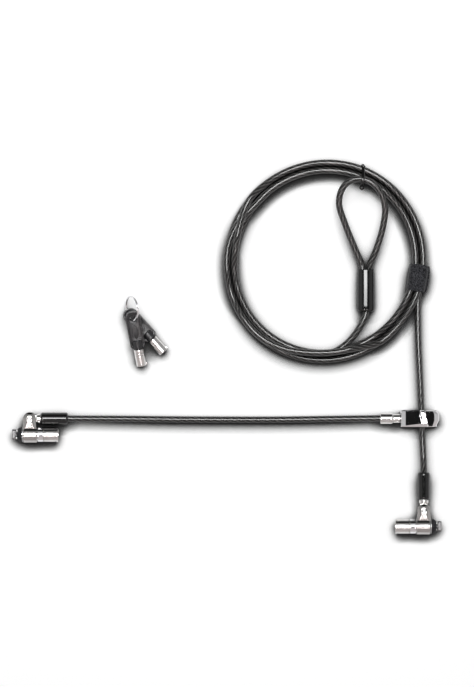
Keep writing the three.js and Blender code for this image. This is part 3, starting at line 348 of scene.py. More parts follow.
def make_lay():
    """The twisted strands of a cable from its own map: round it in X, along it in Y, in metres."""
    group, start, end = new_group(
        "rope lay",
        [("Vector", VECTOR, None), ("Strands", FLOAT, 6.0), ("Wire Length", FLOAT, 0.0032)],
        [("Crown", FLOAT), ("Wires", FLOAT)],
    )
    parts = add(group, "ShaderNodeSeparateXYZ", {0: start.outputs["Vector"]})
    strands = maths(group, "MULTIPLY", parts.outputs[0], start.outputs["Strands"])
    turn = maths(group, "MULTIPLY", strands, TAU)
    crown = maths(group, "MULTIPLY_ADD", maths(group, "COSINE", turn), 0.5, 0.5)
    doubled = maths(group, "MULTIPLY", strands, 2.0)
    slant = maths(group, "DIVIDE", parts.outputs[1], start.outputs["Wire Length"])
    wires = maths(group, "MULTIPLY", maths(group, "SUBTRACT", doubled, slant), TAU)
    waves = maths(group, "MULTIPLY_ADD", maths(group, "SINE", wires), 0.5, 0.5)
    group.links.new(crown, end.inputs["Crown"])
    group.links.new(waves, end.inputs["Wires"])
    return group


def make_weave():
    """Height of a close hook-and-loop fabric, and its painted shade: darker in the hollows between loops,
    with random fuzz.
    """
    group, start, end = new_group(
        "loop fabric", [("Vector", VECTOR, None), ("Loops", FLOAT, 2600.0)],
        [("Height", FLOAT), ("Shade", FLOAT)],
    )
    cells = add(group, "ShaderNodeTexVoronoi", {
        "Vector": start.outputs["Vector"], "Scale": start.outputs["Loops"], "Randomness": 0.8,
    })
    fuzz = add(group, "ShaderNodeTexNoise", {
        "Vector": start.outputs["Vector"], "Scale": maths(group, "MULTIPLY", start.outputs["Loops"], 0.35),
        "Detail": 6.0, "Roughness": 0.75,
    })
    tops = maths(group, "SUBTRACT", 1.0, cells.outputs["Distance"])
    height = maths(group, "ADD", tops, fuzz.outputs["Fac"])
    shade = maths(group, "MULTIPLY", height, 0.5)
    group.links.new(height, end.inputs["Height"])
    group.links.new(shade, end.inputs["Shade"])
    return group


TONE_SCALE = 2.3  # a metal's patches of tone to its patches of gloss
WIRE_PAINTED_SHADE, WIRE_RELIEF = 0.45, 0.25  # painted shade between a cable's fine wires, and their relief, against its strands
CROWN_SHARPNESS = 2.5  # how narrow the painted highlight on a strand's crown is
MOULDING_TONE_PATCHES, MOULDING_GLOSS_PATCHES = 420.0, 180.0
TOOL_LINES = 9000.0  # in each metre

UNEVEN = make_uneven()
GRAIN = make_grain()
TURNING_MARKS = make_turning_marks()
LAY = make_lay()
WEAVE = make_weave()


def new_material(name, values):
    """A material with a Principled shader whose plain values are set on its own sockets."""
    material = bpy.data.materials.new(name)
    material.use_nodes = True
    shader = material.node_tree.nodes["Principled BSDF"]
    for label, value in values.items():
        shader.inputs[label].default_value = value
    return material, material.node_tree, shader


def placed(tree, group, links):
    """A shader node group used in a material."""
    return add(tree, "ShaderNodeGroup", links, node_tree=group)


def blended(tree, factor, low, high):
    """A colour between two, by a factor."""
    ramp = tree.nodes.new("ShaderNodeValToRGB")
    ramp.color_ramp.elements[0].color = (*low, 1)
    ramp.color_ramp.elements[1].color = (*high, 1)
    tree.links.new(factor, ramp.inputs["Fac"])
    return ramp.outputs["Color"]


def bumped(tree, shader, height, distance):
    """Gives a shader a relief of some depth in metres."""
    bump = add(tree, "ShaderNodeBump", {"Height": height, "Distance": distance, "Strength": 1.0})
    tree.links.new(bump.outputs["Normal"], shader.inputs["Normal"])


def object_place(tree):
    return add(tree, "ShaderNodeTexCoord").outputs["Object"]


def drifting(tree, shader, place, tones, gloss, tone_patches, gloss_patches):
    """Gives a shader a colour and a roughness that drift, each in patches of its own scale."""
    worn = placed(tree, UNEVEN, {
        "Vector": place, "Patch Scale": gloss_patches, "Low": gloss[0], "High": gloss[1],
    })
    tone = placed(tree, UNEVEN, {"Vector": place, "Patch Scale": tone_patches, "Low": 0.0, "High": 1.0})
    tree.links.new(worn.outputs["Value"], shader.inputs["Roughness"])
    tree.links.new(blended(tree, tone.outputs["Value"], *tones), shader.inputs["Base Color"])


def metal(name, tones, gloss, marks=0.0, patches=260.0):
    """A bare metal whose tone and gloss drift a little, with tool marks where it was turned."""
    material, tree, shader = new_material(name, {"Metallic": 1.0})
    place = object_place(tree)
    drifting(tree, shader, place, tones, gloss, patches * TONE_SCALE, patches)
    if marks:
        cut = placed(tree, TURNING_MARKS, {"Vector": place, "Axis": (1.0, 0.0, 0.0), "Lines": TOOL_LINES})
        bumped(tree, shader, cut.outputs["Height"], marks)
    return material


def moulding(name, tones, gloss, grain, scale, specular=0.5):
    """A black moulding: its tone and gloss drift, and a fine grain stands on it."""
    material, tree, shader = new_material(name, {"Specular IOR Level": specular})
    place = object_place(tree)
    drifting(tree, shader, place, tones, gloss, MOULDING_TONE_PATCHES, MOULDING_GLOSS_PATCHES)
    skin = placed(tree, GRAIN, {"Vector": place, "Grain Scale": scale})
    bumped(tree, shader, skin.outputs["Height"], grain)
    return material


def sheathed_rope():
    """Dark twisted strands seen through a smooth clear sheath, with a painted highlight on each strand's
    crown and painted shade between strands and wires.
    """
    material, tree, shader = new_material("sheathed rope", {
        "Metallic": 0.05, "Coat Weight": 0.5, "Coat Roughness": 0.04, "Coat IOR": 1.7,
        "Specular IOR Level": 0.1,
    })
    own_map = add(tree, "ShaderNodeUVMap", uv_map="lay").outputs["UV"]
    lay = placed(tree, LAY, {"Vector": own_map})
    gloss = placed(tree, UNEVEN, {
        "Vector": object_place(tree), "Patch Scale": 120.0, "Low": 0.34, "High": 0.5,
    })
    wires = maths(tree, "MULTIPLY_ADD", lay.outputs["Wires"], WIRE_PAINTED_SHADE, 1 - WIRE_PAINTED_SHADE)
    # Painted light in the colour: each strand's crown lit as a painted highlight, with painted shade in
    # the grooves between strands and between wires.
    bright = maths(tree, "MULTIPLY", maths(tree, "POWER", lay.outputs["Crown"], CROWN_SHARPNESS), wires)
    shade = blended(tree, bright, (0.006, 0.006, 0.006), (0.1, 0.097, 0.094))
    tree.links.new(shade, shader.inputs["Base Color"])
    tree.links.new(gloss.outputs["Value"], shader.inputs["Roughness"])
    wire_height = maths(tree, "MULTIPLY", lay.outputs["Wires"], WIRE_RELIEF)
    bumped(tree, shader, maths(tree, "ADD", lay.outputs["Crown"], wire_height), 0.00006)
    return material


def loop_fabric():
    """Charcoal hook-and-loop fabric, with painted shade in the hollows between its loops."""
    material, tree, shader = new_material("loop fabric", {
        "Sheen Weight": 0.15, "Sheen Roughness": 0.5, "Specular IOR Level": 0.12,
    })
    place = object_place(tree)
    weave = placed(tree, WEAVE, {"Vector": place, "Loops": 1500.0})
    gloss = placed(tree, UNEVEN, {"Vector": place, "Patch Scale": 500.0, "Low": 0.8, "High": 0.98})
    # Painted shade in the fabric's colour: darker in the hollows between loops, lighter on loop tops, with
    # random fuzz.
    strength = ramped(tree, weave.outputs["Shade"], 0.38, 0.72)
    shade = blended(tree, strength, (0.006, 0.006, 0.007), (0.085, 0.086, 0.095))
    tree.links.new(shade, shader.inputs["Base Color"])
    tree.links.new(gloss.outputs["Value"], shader.inputs["Roughness"])
    bumped(tree, shader, weave.outputs["Height"], 0.00025)
    return material


# each with its slot: a metal's tones and gloss, or a moulding's with its grain's height and scale
FINISHES = {
    "rope": (sheathed_rope(), "cable"),
    "nickel": (metal("polished nickel", ((0.62, 0.61, 0.6), (0.74, 0.73, 0.72)), (0.07, 0.13)), "nickel"),
    "turned nickel": (
        metal("turned nickel", ((0.56, 0.55, 0.54), (0.68, 0.67, 0.66)), (0.1, 0.17), marks=0.00001),
        "nickel",
    ),
    "satin nickel": (
        metal("satin nickel", ((0.36, 0.35, 0.345), (0.54, 0.53, 0.52)), (0.09, 0.15), marks=0.000012,
              patches=700.0),
        "nickel",
    ),
    "chrome": (metal("bright chrome", ((0.7, 0.7, 0.71), (0.78, 0.78, 0.79)), (0.012, 0.03)), "chrome"),
    "steel": (
        metal("machined steel", ((0.36, 0.36, 0.37), (0.5, 0.5, 0.5)), (0.34, 0.5), marks=0.00002),
        "steel",
    ),
    "dark steel": (
        metal("tumbled steel", ((0.13, 0.13, 0.135), (0.2, 0.2, 0.2)), (0.42, 0.56), marks=0.00002),
        "steel",
    ),
    "bright steel": (
        metal("bright steel", ((0.68, 0.68, 0.68), (0.82, 0.82, 0.82)), (0.22, 0.34)), "steel",
    ),
    "brass": (
        metal("machined brass", ((0.6, 0.45, 0.2), (0.72, 0.56, 0.28)), (0.25, 0.4), marks=0.00002),
        "brass",
    ),
    "rubber": (
        moulding("matt rubber", ((0.009, 0.009, 0.01), (0.018, 0.018, 0.02)), (0.6, 0.8), 0.00002, 3500.0,
                 specular=0.3),
        "rubber",
    ),
    "gloss": (
        moulding("gloss black", ((0.004, 0.004, 0.004), (0.008, 0.008, 0.008)), (0.06, 0.11),
                 0.0000006, 1500.0),
        "gloss_black",
    ),
    "plastic": (
        moulding("satin black", ((0.012, 0.012, 0.013), (0.024, 0.024, 0.026)), (0.26, 0.4),
                 0.000006, 4200.0),
        "key_plastic",
    ),
    "fabric": (loop_fabric(), "strap_fabric"),
}

# ---- Cable routes -------------------------------------------------------------------------------------

CABLE_RADIUS = 2.2
STRAND_PITCH = 4.95
COIL_X, COIL_Y = 64.5, 101.3
COIL_INNER_RADIUS = 60.6
COIL_OFF_CENTRE = 1.4
COIL_OVALITY = 0.8
COIL_LEAN_ANGLE = 52
COIL_START_ANGLE = 275
COIL_TURNED = 1365
COIL_STEP = 15  # between the points of its route
COIL_LEAD_OUT = 4.7  # straight on from the coil's end
LOWEST_STRAND = CABLE_RADIUS + 0.05
STRAP_ANGLE, TIE_ANGLE = 351, 64.6
BAND_LIFT, LIFT_FLAT, LIFT_RAMP = 1.15, 12, 22
TIE_SKEW = 0.33  # degrees round the coil for each millimetre outward
TIE_STILL = 60.0  # how far out the tie keeps its own angle
# start and span in turned degrees, then strands outward and layers upward
STRAND_MOVES = [
    (85, 25, 0, 1), (110, 25, 1, 0), (135, 25, 0, -1), (330, 20, -1, 1), (365, 45, 1, 0),
    (410, 25, 0, -1), (470, 25, -1, 0), (670, 20, 0, -1), (1013, 20, 1, 0),
]


def eased(share):
    """0 below 0, 1 over 1 and a soft step between."""
    held = min(max(share, 0), 1)
    return held * held * (3 - 2 * held)


def lifted(angle, band):
    """How far the strands rise at an angle round the coil, to let a band pass under them."""
    away = 180 - abs((angle - band) % 360 - 180)
    return BAND_LIFT * eased((LIFT_FLAT + LIFT_RAMP - away) / LIFT_RAMP)


def coil_point(turn):
    """The cable's centre after some degrees of turn in the coil."""
    outward, layer = 0, 1
    for start, span, out, up in STRAND_MOVES:
        share = eased((turn - start) / span)
        outward += out * share
        layer += up * share
    angle = COIL_START_ANGLE - turn
    lean = radians(angle - COIL_LEAN_ANGLE)
    wander = COIL_OFF_CENTRE * math.cos(lean) + COIL_OVALITY * math.cos(2 * lean)
    radius = COIL_INNER_RADIUS + outward * STRAND_PITCH + wander
    lift = lifted(angle, STRAP_ANGLE) + lifted(angle, TIE_ANGLE)
    height = LOWEST_STRAND + layer * STRAND_PITCH + lift
    return Vector((
        COIL_X + radius * math.cos(radians(angle)), COIL_Y + radius * math.sin(radians(angle)), height,
    ))


FINE_STEP = 0.5  # between the points from which the even ones are taken


def smooth_route(points, step):
    """Evenly spaced points on a centripetal curve through the given ones."""
    points = [Vector(point) for point in points]
    ends = [2 * points[0] - points[1], *points, 2 * points[-1] - points[-2]]
    dense = []
    for a, b, c, d in zip(ends, ends[1:], ends[2:], ends[3:]):
        t1 = (b - a).length ** 0.5
        t2 = t1 + (c - b).length ** 0.5
        t3 = t2 + (d - c).length ** 0.5
        pieces = max(2, int((c - b).length / FINE_STEP))
        for index in range(pieces):
            t = t1 + (t2 - t1) * index / pieces
            ab = a.lerp(b, t / t1)
            bc = b.lerp(c, (t - t1) / (t2 - t1))
            cd = c.lerp(d, (t - t2) / (t3 - t2))
            abc = ab.lerp(bc, t / t2)
            bcd = bc.lerp(cd, (t - t1) / (t3 - t1))
            dense.append(abc.lerp(bcd, (t - t1) / (t2 - t1)))
    dense.append(points[-1])
    travelled = [0.0]
    for one, other in zip(dense, dense[1:]):
        travelled.append(travelled[-1] + (other - one).length)
    count = round(travelled[-1] / step)
    even, index = [], 0
    for number in range(count + 1):
        wanted = travelled[-1] * number / count
        while index < len(dense) - 2 and travelled[index + 1] < wanted:
            index += 1
        share = (wanted - travelled[index]) / (travelled[index + 1] - travelled[index])
        even.append(dense[index].lerp(dense[index + 1], min(share, 1)))
    return even, travelled[-1]


LEAD = [(92.8, 71.9, 3.5), (92.8, 67.5, 3.5), (90.2, 61.4, 4.1), (84.6, 52.8, 5.6), (77.4, 45.8, 6.8)]
COIL = [coil_point(turn) for turn in range(0, COIL_TURNED, COIL_STEP)] + [coil_point(COIL_TURNED)]
coil_end_direction = (COIL[-1] - coil_point(COIL_TURNED - 3)).normalized()
RUN = [
    COIL[-1] + coil_end_direction * COIL_LEAD_OUT,
    (127.6, 76.5, 3.8), (127.6, 53.5, 4.1), (129.1, 18, 4.6),
    (130.3, -14, 5), (131.1, -30, 5.4), (131.3, -39.2, 5.5), (131.3, -43.8, 5.5),
]
EYE = [
    (90.2, 94.3, 3.5), (90.2, 99.5, 3.5), (85.6, 110.8, 4.4), (79, 126.8, 7.4), (74.6, 141.6, 10.8),
    (77.6, 152, 12.8), (84.8, 156.8, 13.6), (93, 156.2, 13.6), (100.7, 150.5, 13.2), (105.1, 139.4, 11),
    (104.2, 126.6, 7.8), (99.8, 110.8, 4.5), (95.4, 99.5, 3.5), (95.4, 94.3, 3.5),
]
SHORT = [
    (-111.6, -2.3, 5.5), (-101.5, -2.3, 5.5), (-70, -2.5, 4), (-35, -2.9, 2.6), (0, -3.1, 2.3),
    (35, -3.1, 2.3), (70, -2.6, 3.2), (97.9, -2.2, 4.7), (108, -2.2, 4.7),
]

STRANDS = 6
STRAND_RELIEF = 0.006  # how deep the sheath dips between strands
LAY_LENGTH = 32.5  # for a strand to go once round
RING_POINTS = 36
RING_STEP = 2.0


def rope_section():
    """The sheath's outline, which follows the strands a little."""
    curve = bpy.data.curves.new("rope section", "CURVE")
    spline = curve.splines.new("POLY")
    spline.points.add(RING_POINTS - 1)
    spline.use_cyclic_u = True
    for index, point in enumerate(spline.points):
        angle = TAU * index / RING_POINTS
        dip = STRAND_RELIEF * (0.5 - 0.5 * math.cos(STRANDS * angle))
        radius = (CABLE_RADIUS - dip) * MM
        point.co = (radius * math.cos(angle), radius * math.sin(angle), 0, 1)
    section = bpy.data.objects.new("rope section", curve)
    bpy.context.collection.objects.link(section)
    section.hide_render = True
    return section


def rope(name, points, section, body, replaced):
    """A cable along a route, with its strands laid right-handed and a map round and along it. Gives the
    piece, its path and its length in metres."""
    route, length = smooth_route(points, RING_STEP)
    for place in route:
        place.z = max(place.z, LOWEST_STRAND)
    step = length / (len(route) - 1)
    curve = bpy.data.curves.new(name, "CURVE")
    curve.dimensions = "3D"
    curve.bevel_mode = "OBJECT"
    curve.bevel_object = section
    curve.use_fill_caps = True
    spline = curve.splines.new("POLY")
    spline.points.add(len(route) - 1)
    for index, (point, place) in enumerate(zip(spline.points, route)):
        point.co = (*(place * MM), 1)
        point.tilt = TAU * step * index / LAY_LENGTH
    holder = bpy.data.objects.new(name, curve)
    bpy.context.collection.objects.link(holder)
    bpy.context.view_layer.update()
    ready = holder.evaluated_get(bpy.context.evaluated_depsgraph_get())
    mesh = bpy.data.meshes.new_from_object(ready)
    bpy.data.objects.remove(holder)
    mesh.name = name
    while mesh.uv_layers:
        mesh.uv_layers.remove(mesh.uv_layers[0])
    own_map = mesh.uv_layers.new(name="lay")
    for face in mesh.polygons:
        face.use_smooth = len(face.vertices) == 4
        rounds = [vertex % RING_POINTS for vertex in face.vertices]
        over_seam = len(rounds) == 4 and max(rounds) - min(rounds) > 1
        for loop, around in zip(face.loop_indices, rounds):
            along = (mesh.loops[loop].vertex_index // RING_POINTS) * step * MM
            if over_seam and around == 0:
                around = RING_POINTS
            own_map.data[loop].uv = (around / RING_POINTS, along)
    mesh.materials.clear()
    piece = finished(name, mesh, *FINISHES["rope"], body, replaced)
    return piece, [tuple(place * MM) for place in route], length * MM


section = rope_section()
main_rope, main_path, main_length = rope(
    "main_rope", [*LEAD, *COIL, *RUN], section, "main_cable", ["main_cable_coil", "main_cable_run"],
)
eye_rope, eye_path, eye_length = rope("eye_rope", EYE, section, "main_cable", ["main_cable_eye"])
short_rope, short_path, short_length = rope("short_rope", SHORT, section, "slider", ["second_cable"])
bpy.data.objects.remove(section)

# ---- Sleeve, strap and tie ----------------------------------------------------------------------------

SLEEVE_X, SLEEVE_BOTTOM, SLEEVE_TOP = 92.8, 68.9, 97.3
SLEEVE_WIDTH, SLEEVE_HEIGHT = 11.2, 7.0
SLEEVE_POINTS = 64
SLEEVE_ROUNDING, ROUNDING_RINGS = 2.2, 6  # at its lower end
ROUNDING_ALONG, ROUNDING_UP = 0.9, 1.2  # how it is stretched along the sleeve, and in height
SLEEVE_FALL = 0.9  # how much lower its top end is than its middle
FALL_START, FALL_LENGTH = 85, 12
SLEEVE_BORE, BORE_END = 5.0, 71.4  # round the one cable that comes in below
MOUTH_WIDTH, MOUTH_HEIGHT, MOUTH_END = 10.3, 5.1, 94.2  # round both legs of the eye
MOUTH_POWER = 3.2


def sleeve_shape():
    """A gloss oval moulding round both legs of the eye, drawn in at its lower end."""
    def ring(along, width, height, power=2.1):
        outline = oval(width, height, SLEEVE_POINTS, power)
        return [(SLEEVE_X + x, along, SLEEVE_HEIGHT / 2 + z) for x, z in outline]

    rings = [ring(along, SLEEVE_BORE, SLEEVE_BORE, 2) for along in (BORE_END, SLEEVE_BOTTOM + 0.2)]
    for index in range(ROUNDING_RINGS + 1):
        angle = radians(90 * index / ROUNDING_RINGS)
        inward = SLEEVE_ROUNDING * (1 - math.sin(angle))
        along = SLEEVE_BOTTOM + SLEEVE_ROUNDING * (1 - math.cos(angle)) * ROUNDING_ALONG
        rings.append(ring(along, SLEEVE_WIDTH - 2 * inward, SLEEVE_HEIGHT - ROUNDING_UP * inward))
    for along in [*range(73, FALL_START, 2), *range(FALL_START, 97), SLEEVE_TOP - 0.5]:
        fall = SLEEVE_FALL * eased((along - FALL_START) / FALL_LENGTH)
        rings.append(ring(along, SLEEVE_WIDTH - fall / 2, SLEEVE_HEIGHT - fall))
    end_height = SLEEVE_HEIGHT - SLEEVE_FALL
    rings.append(ring(SLEEVE_TOP - 0.12, SLEEVE_WIDTH - 0.5, end_height - 0.25))
    rings.append(ring(SLEEVE_TOP, SLEEVE_WIDTH - 0.9, end_height - 0.6))
    rings.append(ring(SLEEVE_TOP, MOUTH_WIDTH, MOUTH_HEIGHT, MOUTH_POWER))
    rings.append(ring(MOUTH_END, MOUTH_WIDTH - 0.1, MOUTH_HEIGHT - 0.1, MOUTH_POWER))
    return loft(rings)


sleeve = finish("eye_sleeve_moulding", sleeve_shape(), "gloss", "main_cable", ["eye_sleeve"])

STRAP_HALF_WIDTH, STRAP_THICKNESS = 9.0, 0.85
STRAP_OVERLAP = 0.42  # of one time round
STRAP_LOOSE, STRAP_STEP = 0.35, 0.55  # how far off the strands it lies, and its rings' spacing
STRAP_BOW, STRAP_EDGE_DIP = 0.75, 0.3  # how much its middle stands above its edges
LAP_BEFORE, LAP_RINGS = 8, 10  # it climbs over its start from so many rings before it, over so many
END_LIFT, END_RINGS = 0.35, 9  # its free end stands off a little
TIE_WIDTH, TIE_THICKNESS = 2.2, 0.8
TIE_LOOSE, TIE_STEP = 0.3, 0.5
EYE_AT_TIE = (60.95, 13.6)  # the eye's far end, which the tie holds too
BEAD_RADIUS, BEAD_INWARD, BEAD_DOWN = 1.7, 5.0, 0.4  # its place is from the highest strand
TAIL_RADIUS, TAIL_LENGTH = 0.55, 2.6
KNOT_RADIUS, KNOT_HALF_LENGTH, KNOT_OUTWARD, KNOT_SLANT = 1.1, 1.5, 1.9, 60
FLOOR_GAP = 0.06


def strands_at(band):
    """Where the coil's strands lie in the plane of a band: outward from its middle, and up."""
    across = Vector((math.cos(radians(band)), math.sin(radians(band)), 0))
    centre = Vector((COIL_X, COIL_Y, 0))
    found = []
    turn = (COIL_START_ANGLE - band) % 360
    while turn < COIL_TURNED:
        place = coil_point(turn)
        found.append(((place - centre).dot(across), place.z))
        turn += 360
    return found


def wrapped(centres, distance, spacing):
    """Points and outward directions round a set of strands, at a distance from their centres."""
    ordered = sorted(set(centres))

    def half(points):
        """One half of the outline that a taut band takes."""
        chain = []
        for x, y in points:
            while len(chain) > 1:
                (ax, ay), (bx, by) = chain[-2], chain[-1]
                if (bx - ax) * (y - ay) - (by - ay) * (x - ax) > NEGLIGIBLE:
                    break
                chain.pop()
            chain.append((x, y))
        return chain[:-1]

    corners = [Vector(point) for point in half(ordered) + half(ordered[::-1])]
    found = []
    for before, corner, after in zip(corners[-1:] + corners[:-1], corners, corners[1:] + corners[:1]):
        first = (corner - before).normalized()
        last = (after - corner).normalized()
        start = math.atan2(-first.x, first.y)
        sweep = (math.atan2(-last.x, last.y) - start) % TAU
        count = max(2, round(sweep * distance / spacing))
        for index in range(count + 1):
            angle = start + sweep * index / count
            out = Vector((math.cos(angle), math.sin(angle)))
            found.append((corner + distance * out, out))
        out = found[-1][1]
        count = round((after - corner).length / spacing)
        for index in range(1, count):
            found.append((corner.lerp(after, index / count) + distance * out, out))
    return found


def on_coil(band, outward, along, height):
    """A place in the plane of a band, moved along the strands there."""
    angle = radians(band)
    return Vector((
        COIL_X + outward * math.cos(angle) - along * math.sin(angle),
        COIL_Y + outward * math.sin(angle) + along * math.cos(angle),
        height,
    ))


def strap_shape():
    """A strap wound round the coil, whose end lies over its start."""
    around = wrapped(strands_at(STRAP_ANGLE), CABLE_RADIUS + STRAP_LOOSE, STRAP_STEP)
    start = min(range(len(around)), key=lambda index: around[index][0].x + 0.4 * around[index][0].y)
    around = around[start:] + around[:start]
    whole = len(around)
    overlap = int(whole * STRAP_OVERLAP)
    rings = []
    for index in range(whole + overlap):
        point, out = around[index % whole]
        over = eased((index - whole + LAP_BEFORE) / LAP_RINGS) * (STRAP_THICKNESS + 0.05)
        ending = END_LIFT * eased((index - whole - overlap + END_RINGS) / END_RINGS)
        unevenness = 0.12 * math.sin(index * 0.35) + 0.08 * math.sin(index * 0.13 + 1)
        rings.append([])
        width = 2 * (STRAP_HALF_WIDTH + 0.25 * unevenness)
        for x, y in oval(width, STRAP_THICKNESS, 28, power=7):
            edge = min(abs(x) / STRAP_HALF_WIDTH, 1)
            bow = STRAP_BOW * (1 - edge ** 3) - STRAP_EDGE_DIP
            offset = max(over + ending + STRAP_THICKNESS / 2 + y + bow + 0.1, 0.02)
            place = point + offset * out
            rings[-1].append(on_coil(STRAP_ANGLE, place.x, x, max(place.y, FLOOR_GAP)))
    return loft(rings)


strap = finish("coil_strap_band", strap_shape(), "fabric", "main_cable", ["coil_strap"], sharp=60)


def tie_shape():
    """An elastic tie round the coil and the eye, askew, with a knot outside and a bead inside."""
    centres = [*strands_at(TIE_ANGLE), EYE_AT_TIE]
    around = wrapped(centres, CABLE_RADIUS + TIE_LOOSE, TIE_STEP)

    def askew(outward, along, height):
        return on_coil(TIE_ANGLE + TIE_SKEW * (outward - TIE_STILL), outward, along, height)

    rings = []
    for point, out in around:
        rings.append([])
        for x, y in oval(TIE_WIDTH, TIE_THICKNESS, 16, power=3):
            place = point + (TIE_THICKNESS / 2 + y) * out
            rings[-1].append(askew(place.x, x, max(place.y, FLOOR_GAP)))
    band = loft(rings, closed=True)
    bead = turned([
        (-BEAD_RADIUS, 0), (-BEAD_RADIUS, 0.9, 0.6), (-0.9, BEAD_RADIUS, 0.8),
        (0.9, BEAD_RADIUS, 0.8), (BEAD_RADIUS, 0.9, 0.6), (BEAD_RADIUS, 0),
    ], closed=False, steps=32)
    tail = turned([
        (0, 0), (0, TAIL_RADIUS, 0.1), (TAIL_LENGTH, TAIL_RADIUS, 0.1), (TAIL_LENGTH, 0),
    ], closed=False, steps=16)
    knot = turned([
        (-KNOT_HALF_LENGTH, 0), (-KNOT_HALF_LENGTH, KNOT_RADIUS, 0.7),
        (KNOT_HALF_LENGTH, KNOT_RADIUS, 0.7), (KNOT_HALF_LENGTH, 0),
    ], closed=False, steps=24)
    top = max(centres, key=lambda centre: centre[1])
    bead_place = Matrix.Translation(askew(top[0] - BEAD_INWARD, 0, top[1] - BEAD_DOWN))
    outer = max(centres)
    knot_place = Matrix.Translation(askew(outer[0] + KNOT_OUTWARD, 0, outer[1] + KNOT_OUTWARD))
    outward = Matrix.Rotation(radians(TIE_ANGLE), 4, "Z")
    slanted = Matrix.Rotation(radians(TIE_ANGLE + KNOT_SLANT), 4, "Z")
    return together(
        band, moved(bead, outward, bead_place), moved(tail, outward, bead_place),
        moved(knot, slanted, knot_place),
    )


tie = finish("coil_tie_band", tie_shape(), "gloss", "main_cable", ["coil_tie"])

# ---- Lock heads ---------------------------------------------------------------------------------------

# Places along a head are from its fork's middle, and places across it are from the barrel's axis.
AXIS_HEIGHT = 5.5
KEY_FACE, REAR_SLEEVE_END = -19.0, -9.6
SHELL_BACK, NECK_BACK, NECK_FRONT, BARREL_FRONT = -9.3, -5.3, 4.5, 5.0
BARREL_RADIUS, SHELL_BORE_RADIUS, NECK_RADIUS = 5.0, 3.15, 4.2
RIM_RADIUS, GROOVE_RADIUS, KEY_OPENING_RADIUS = 5.2, 4.6, 3.75
COLLAR_BACK, COLLAR_FRONT, COLLAR_RADIUS, COLLAR_BORE_RADIUS = -5.0, 4.2, 5.5, 4.5
FORK_PIN_HEIGHT, FORK_PIN_RADIUS, PIN_HOLE_RADIUS = 10.6, 1.3, 1.36
CHEEK_RADIUS, CHEEK_INSIDE, CHEEK_OUTSIDE, DOME_DROP = 4.4, 1.7, 4.5, 1.45
SPINDLE_RADIUS, SPINDLE_BORE_RADIUS, SPINDLE_END = 1.2, 1.5, 10.6
BAR_HALF_LENGTH, BAR_RADIUS, BAR_BACK, BAR_FRONT = 2.2, 1.3, 9.3, 11.8
SNAP_RING_GAP, SNAP_RING_STEPS = 50, 60
GUIDE_PIN_SIZE, GUIDE_PIN_MIDDLE, GUIDE_PIN_ASIDE = (3.6, 1.3, 2.2), 7.2, 2.25
NOSE_FRONT = 8.4
POST_RADIUS, PIN_BLOCK_RADIUS, PIN_BLOCK_BACK = 1.9, 3.45, -15.2
PINS, PIN_CIRCLE_RADIUS, PIN_RADIUS = 7, 2.85, 0.4
TONGUE_RADIUS, TONGUE_HALF_WIDTH, TONGUE_END = 3.6, 2.5, 5.0
SHANK_RADIUS, SHANK_END = 1.9, 19.4
COVER_START, COVER_END, COVER_RADIUS = 7.4, 25.4, 4.1


def barrel_shape():
    """The barrel's front half: full width behind, and a neck inside the collar."""
    return turned([
        (SHELL_BACK, SHELL_BORE_RADIUS), (SHELL_BACK, BARREL_RADIUS, 0.12),
        (NECK_BACK, BARREL_RADIUS, 0.25), (NECK_BACK, NECK_RADIUS),
        (NECK_FRONT, NECK_RADIUS, 0.1), (NECK_FRONT, 3.9), (BARREL_FRONT, 3.9),
        (BARREL_FRONT, SPINDLE_BORE_RADIUS, 0.1), (3.8, SPINDLE_BORE_RADIUS), (3.8, SHELL_BORE_RADIUS),
    ])


def rear_sleeve_shape():
    """The key end: a raised rim, a fine groove behind it and the round key opening."""
    rim_end, groove_end = KEY_FACE + 1.3, KEY_FACE + 1.8
    return turned([
        (KEY_FACE, KEY_OPENING_RADIUS, 0.3), (KEY_FACE, RIM_RADIUS, 0.3), (rim_end, RIM_RADIUS, 0.12),
        (rim_end, GROOVE_RADIUS), (groove_end, GROOVE_RADIUS), (groove_end, BARREL_RADIUS, 0.08),
        (REAR_SLEEVE_END, BARREL_RADIUS, 0.12), (REAR_SLEEVE_END, KEY_OPENING_RADIUS),
    ])


def cheek(bottom, top):
    """One cheek of the fork, pierced for the pin, with a crowned outer face."""
    outline = arc((0, FORK_PIN_HEIGHT), CHEEK_RADIUS, -20, 200, 44)
    outline += [(-CHEEK_RADIUS, y) for y in (7.5, 6, 4.5, 3.2)]
    outline += [(x, 1.8) for x in (-4.2, -3, -1.5, 0, 1.5, 3, 4.2)]
    outline += [(CHEEK_RADIUS, y) for y in (3.2, 4.5, 6, 7.5)]

    def between(share, radius=PIN_HOLE_RADIUS):
        inner = drawn_in(outline, (0, FORK_PIN_HEIGHT), radius)
        return [part_way(start, end, share) for start, end in zip(outline, inner)]

    outward = math.copysign(1, top)
    rings = [
        (between(1, 1.6), bottom), (outline, bottom), (outline, top - outward * (DOME_DROP + 0.15)),
    ]
    for share in (0.02, 0.07, 0.14, 0.22, 0.32, 0.43, 0.55, 0.68, 0.82, 0.97):
        rings.append((between(share), top - outward * DOME_DROP * (1 - share) ** 1.8))
    rings += [(between(1), top - outward * 0.06), (between(1, 1.6), top - outward * 0.5)]
    return solid_ring(rings)


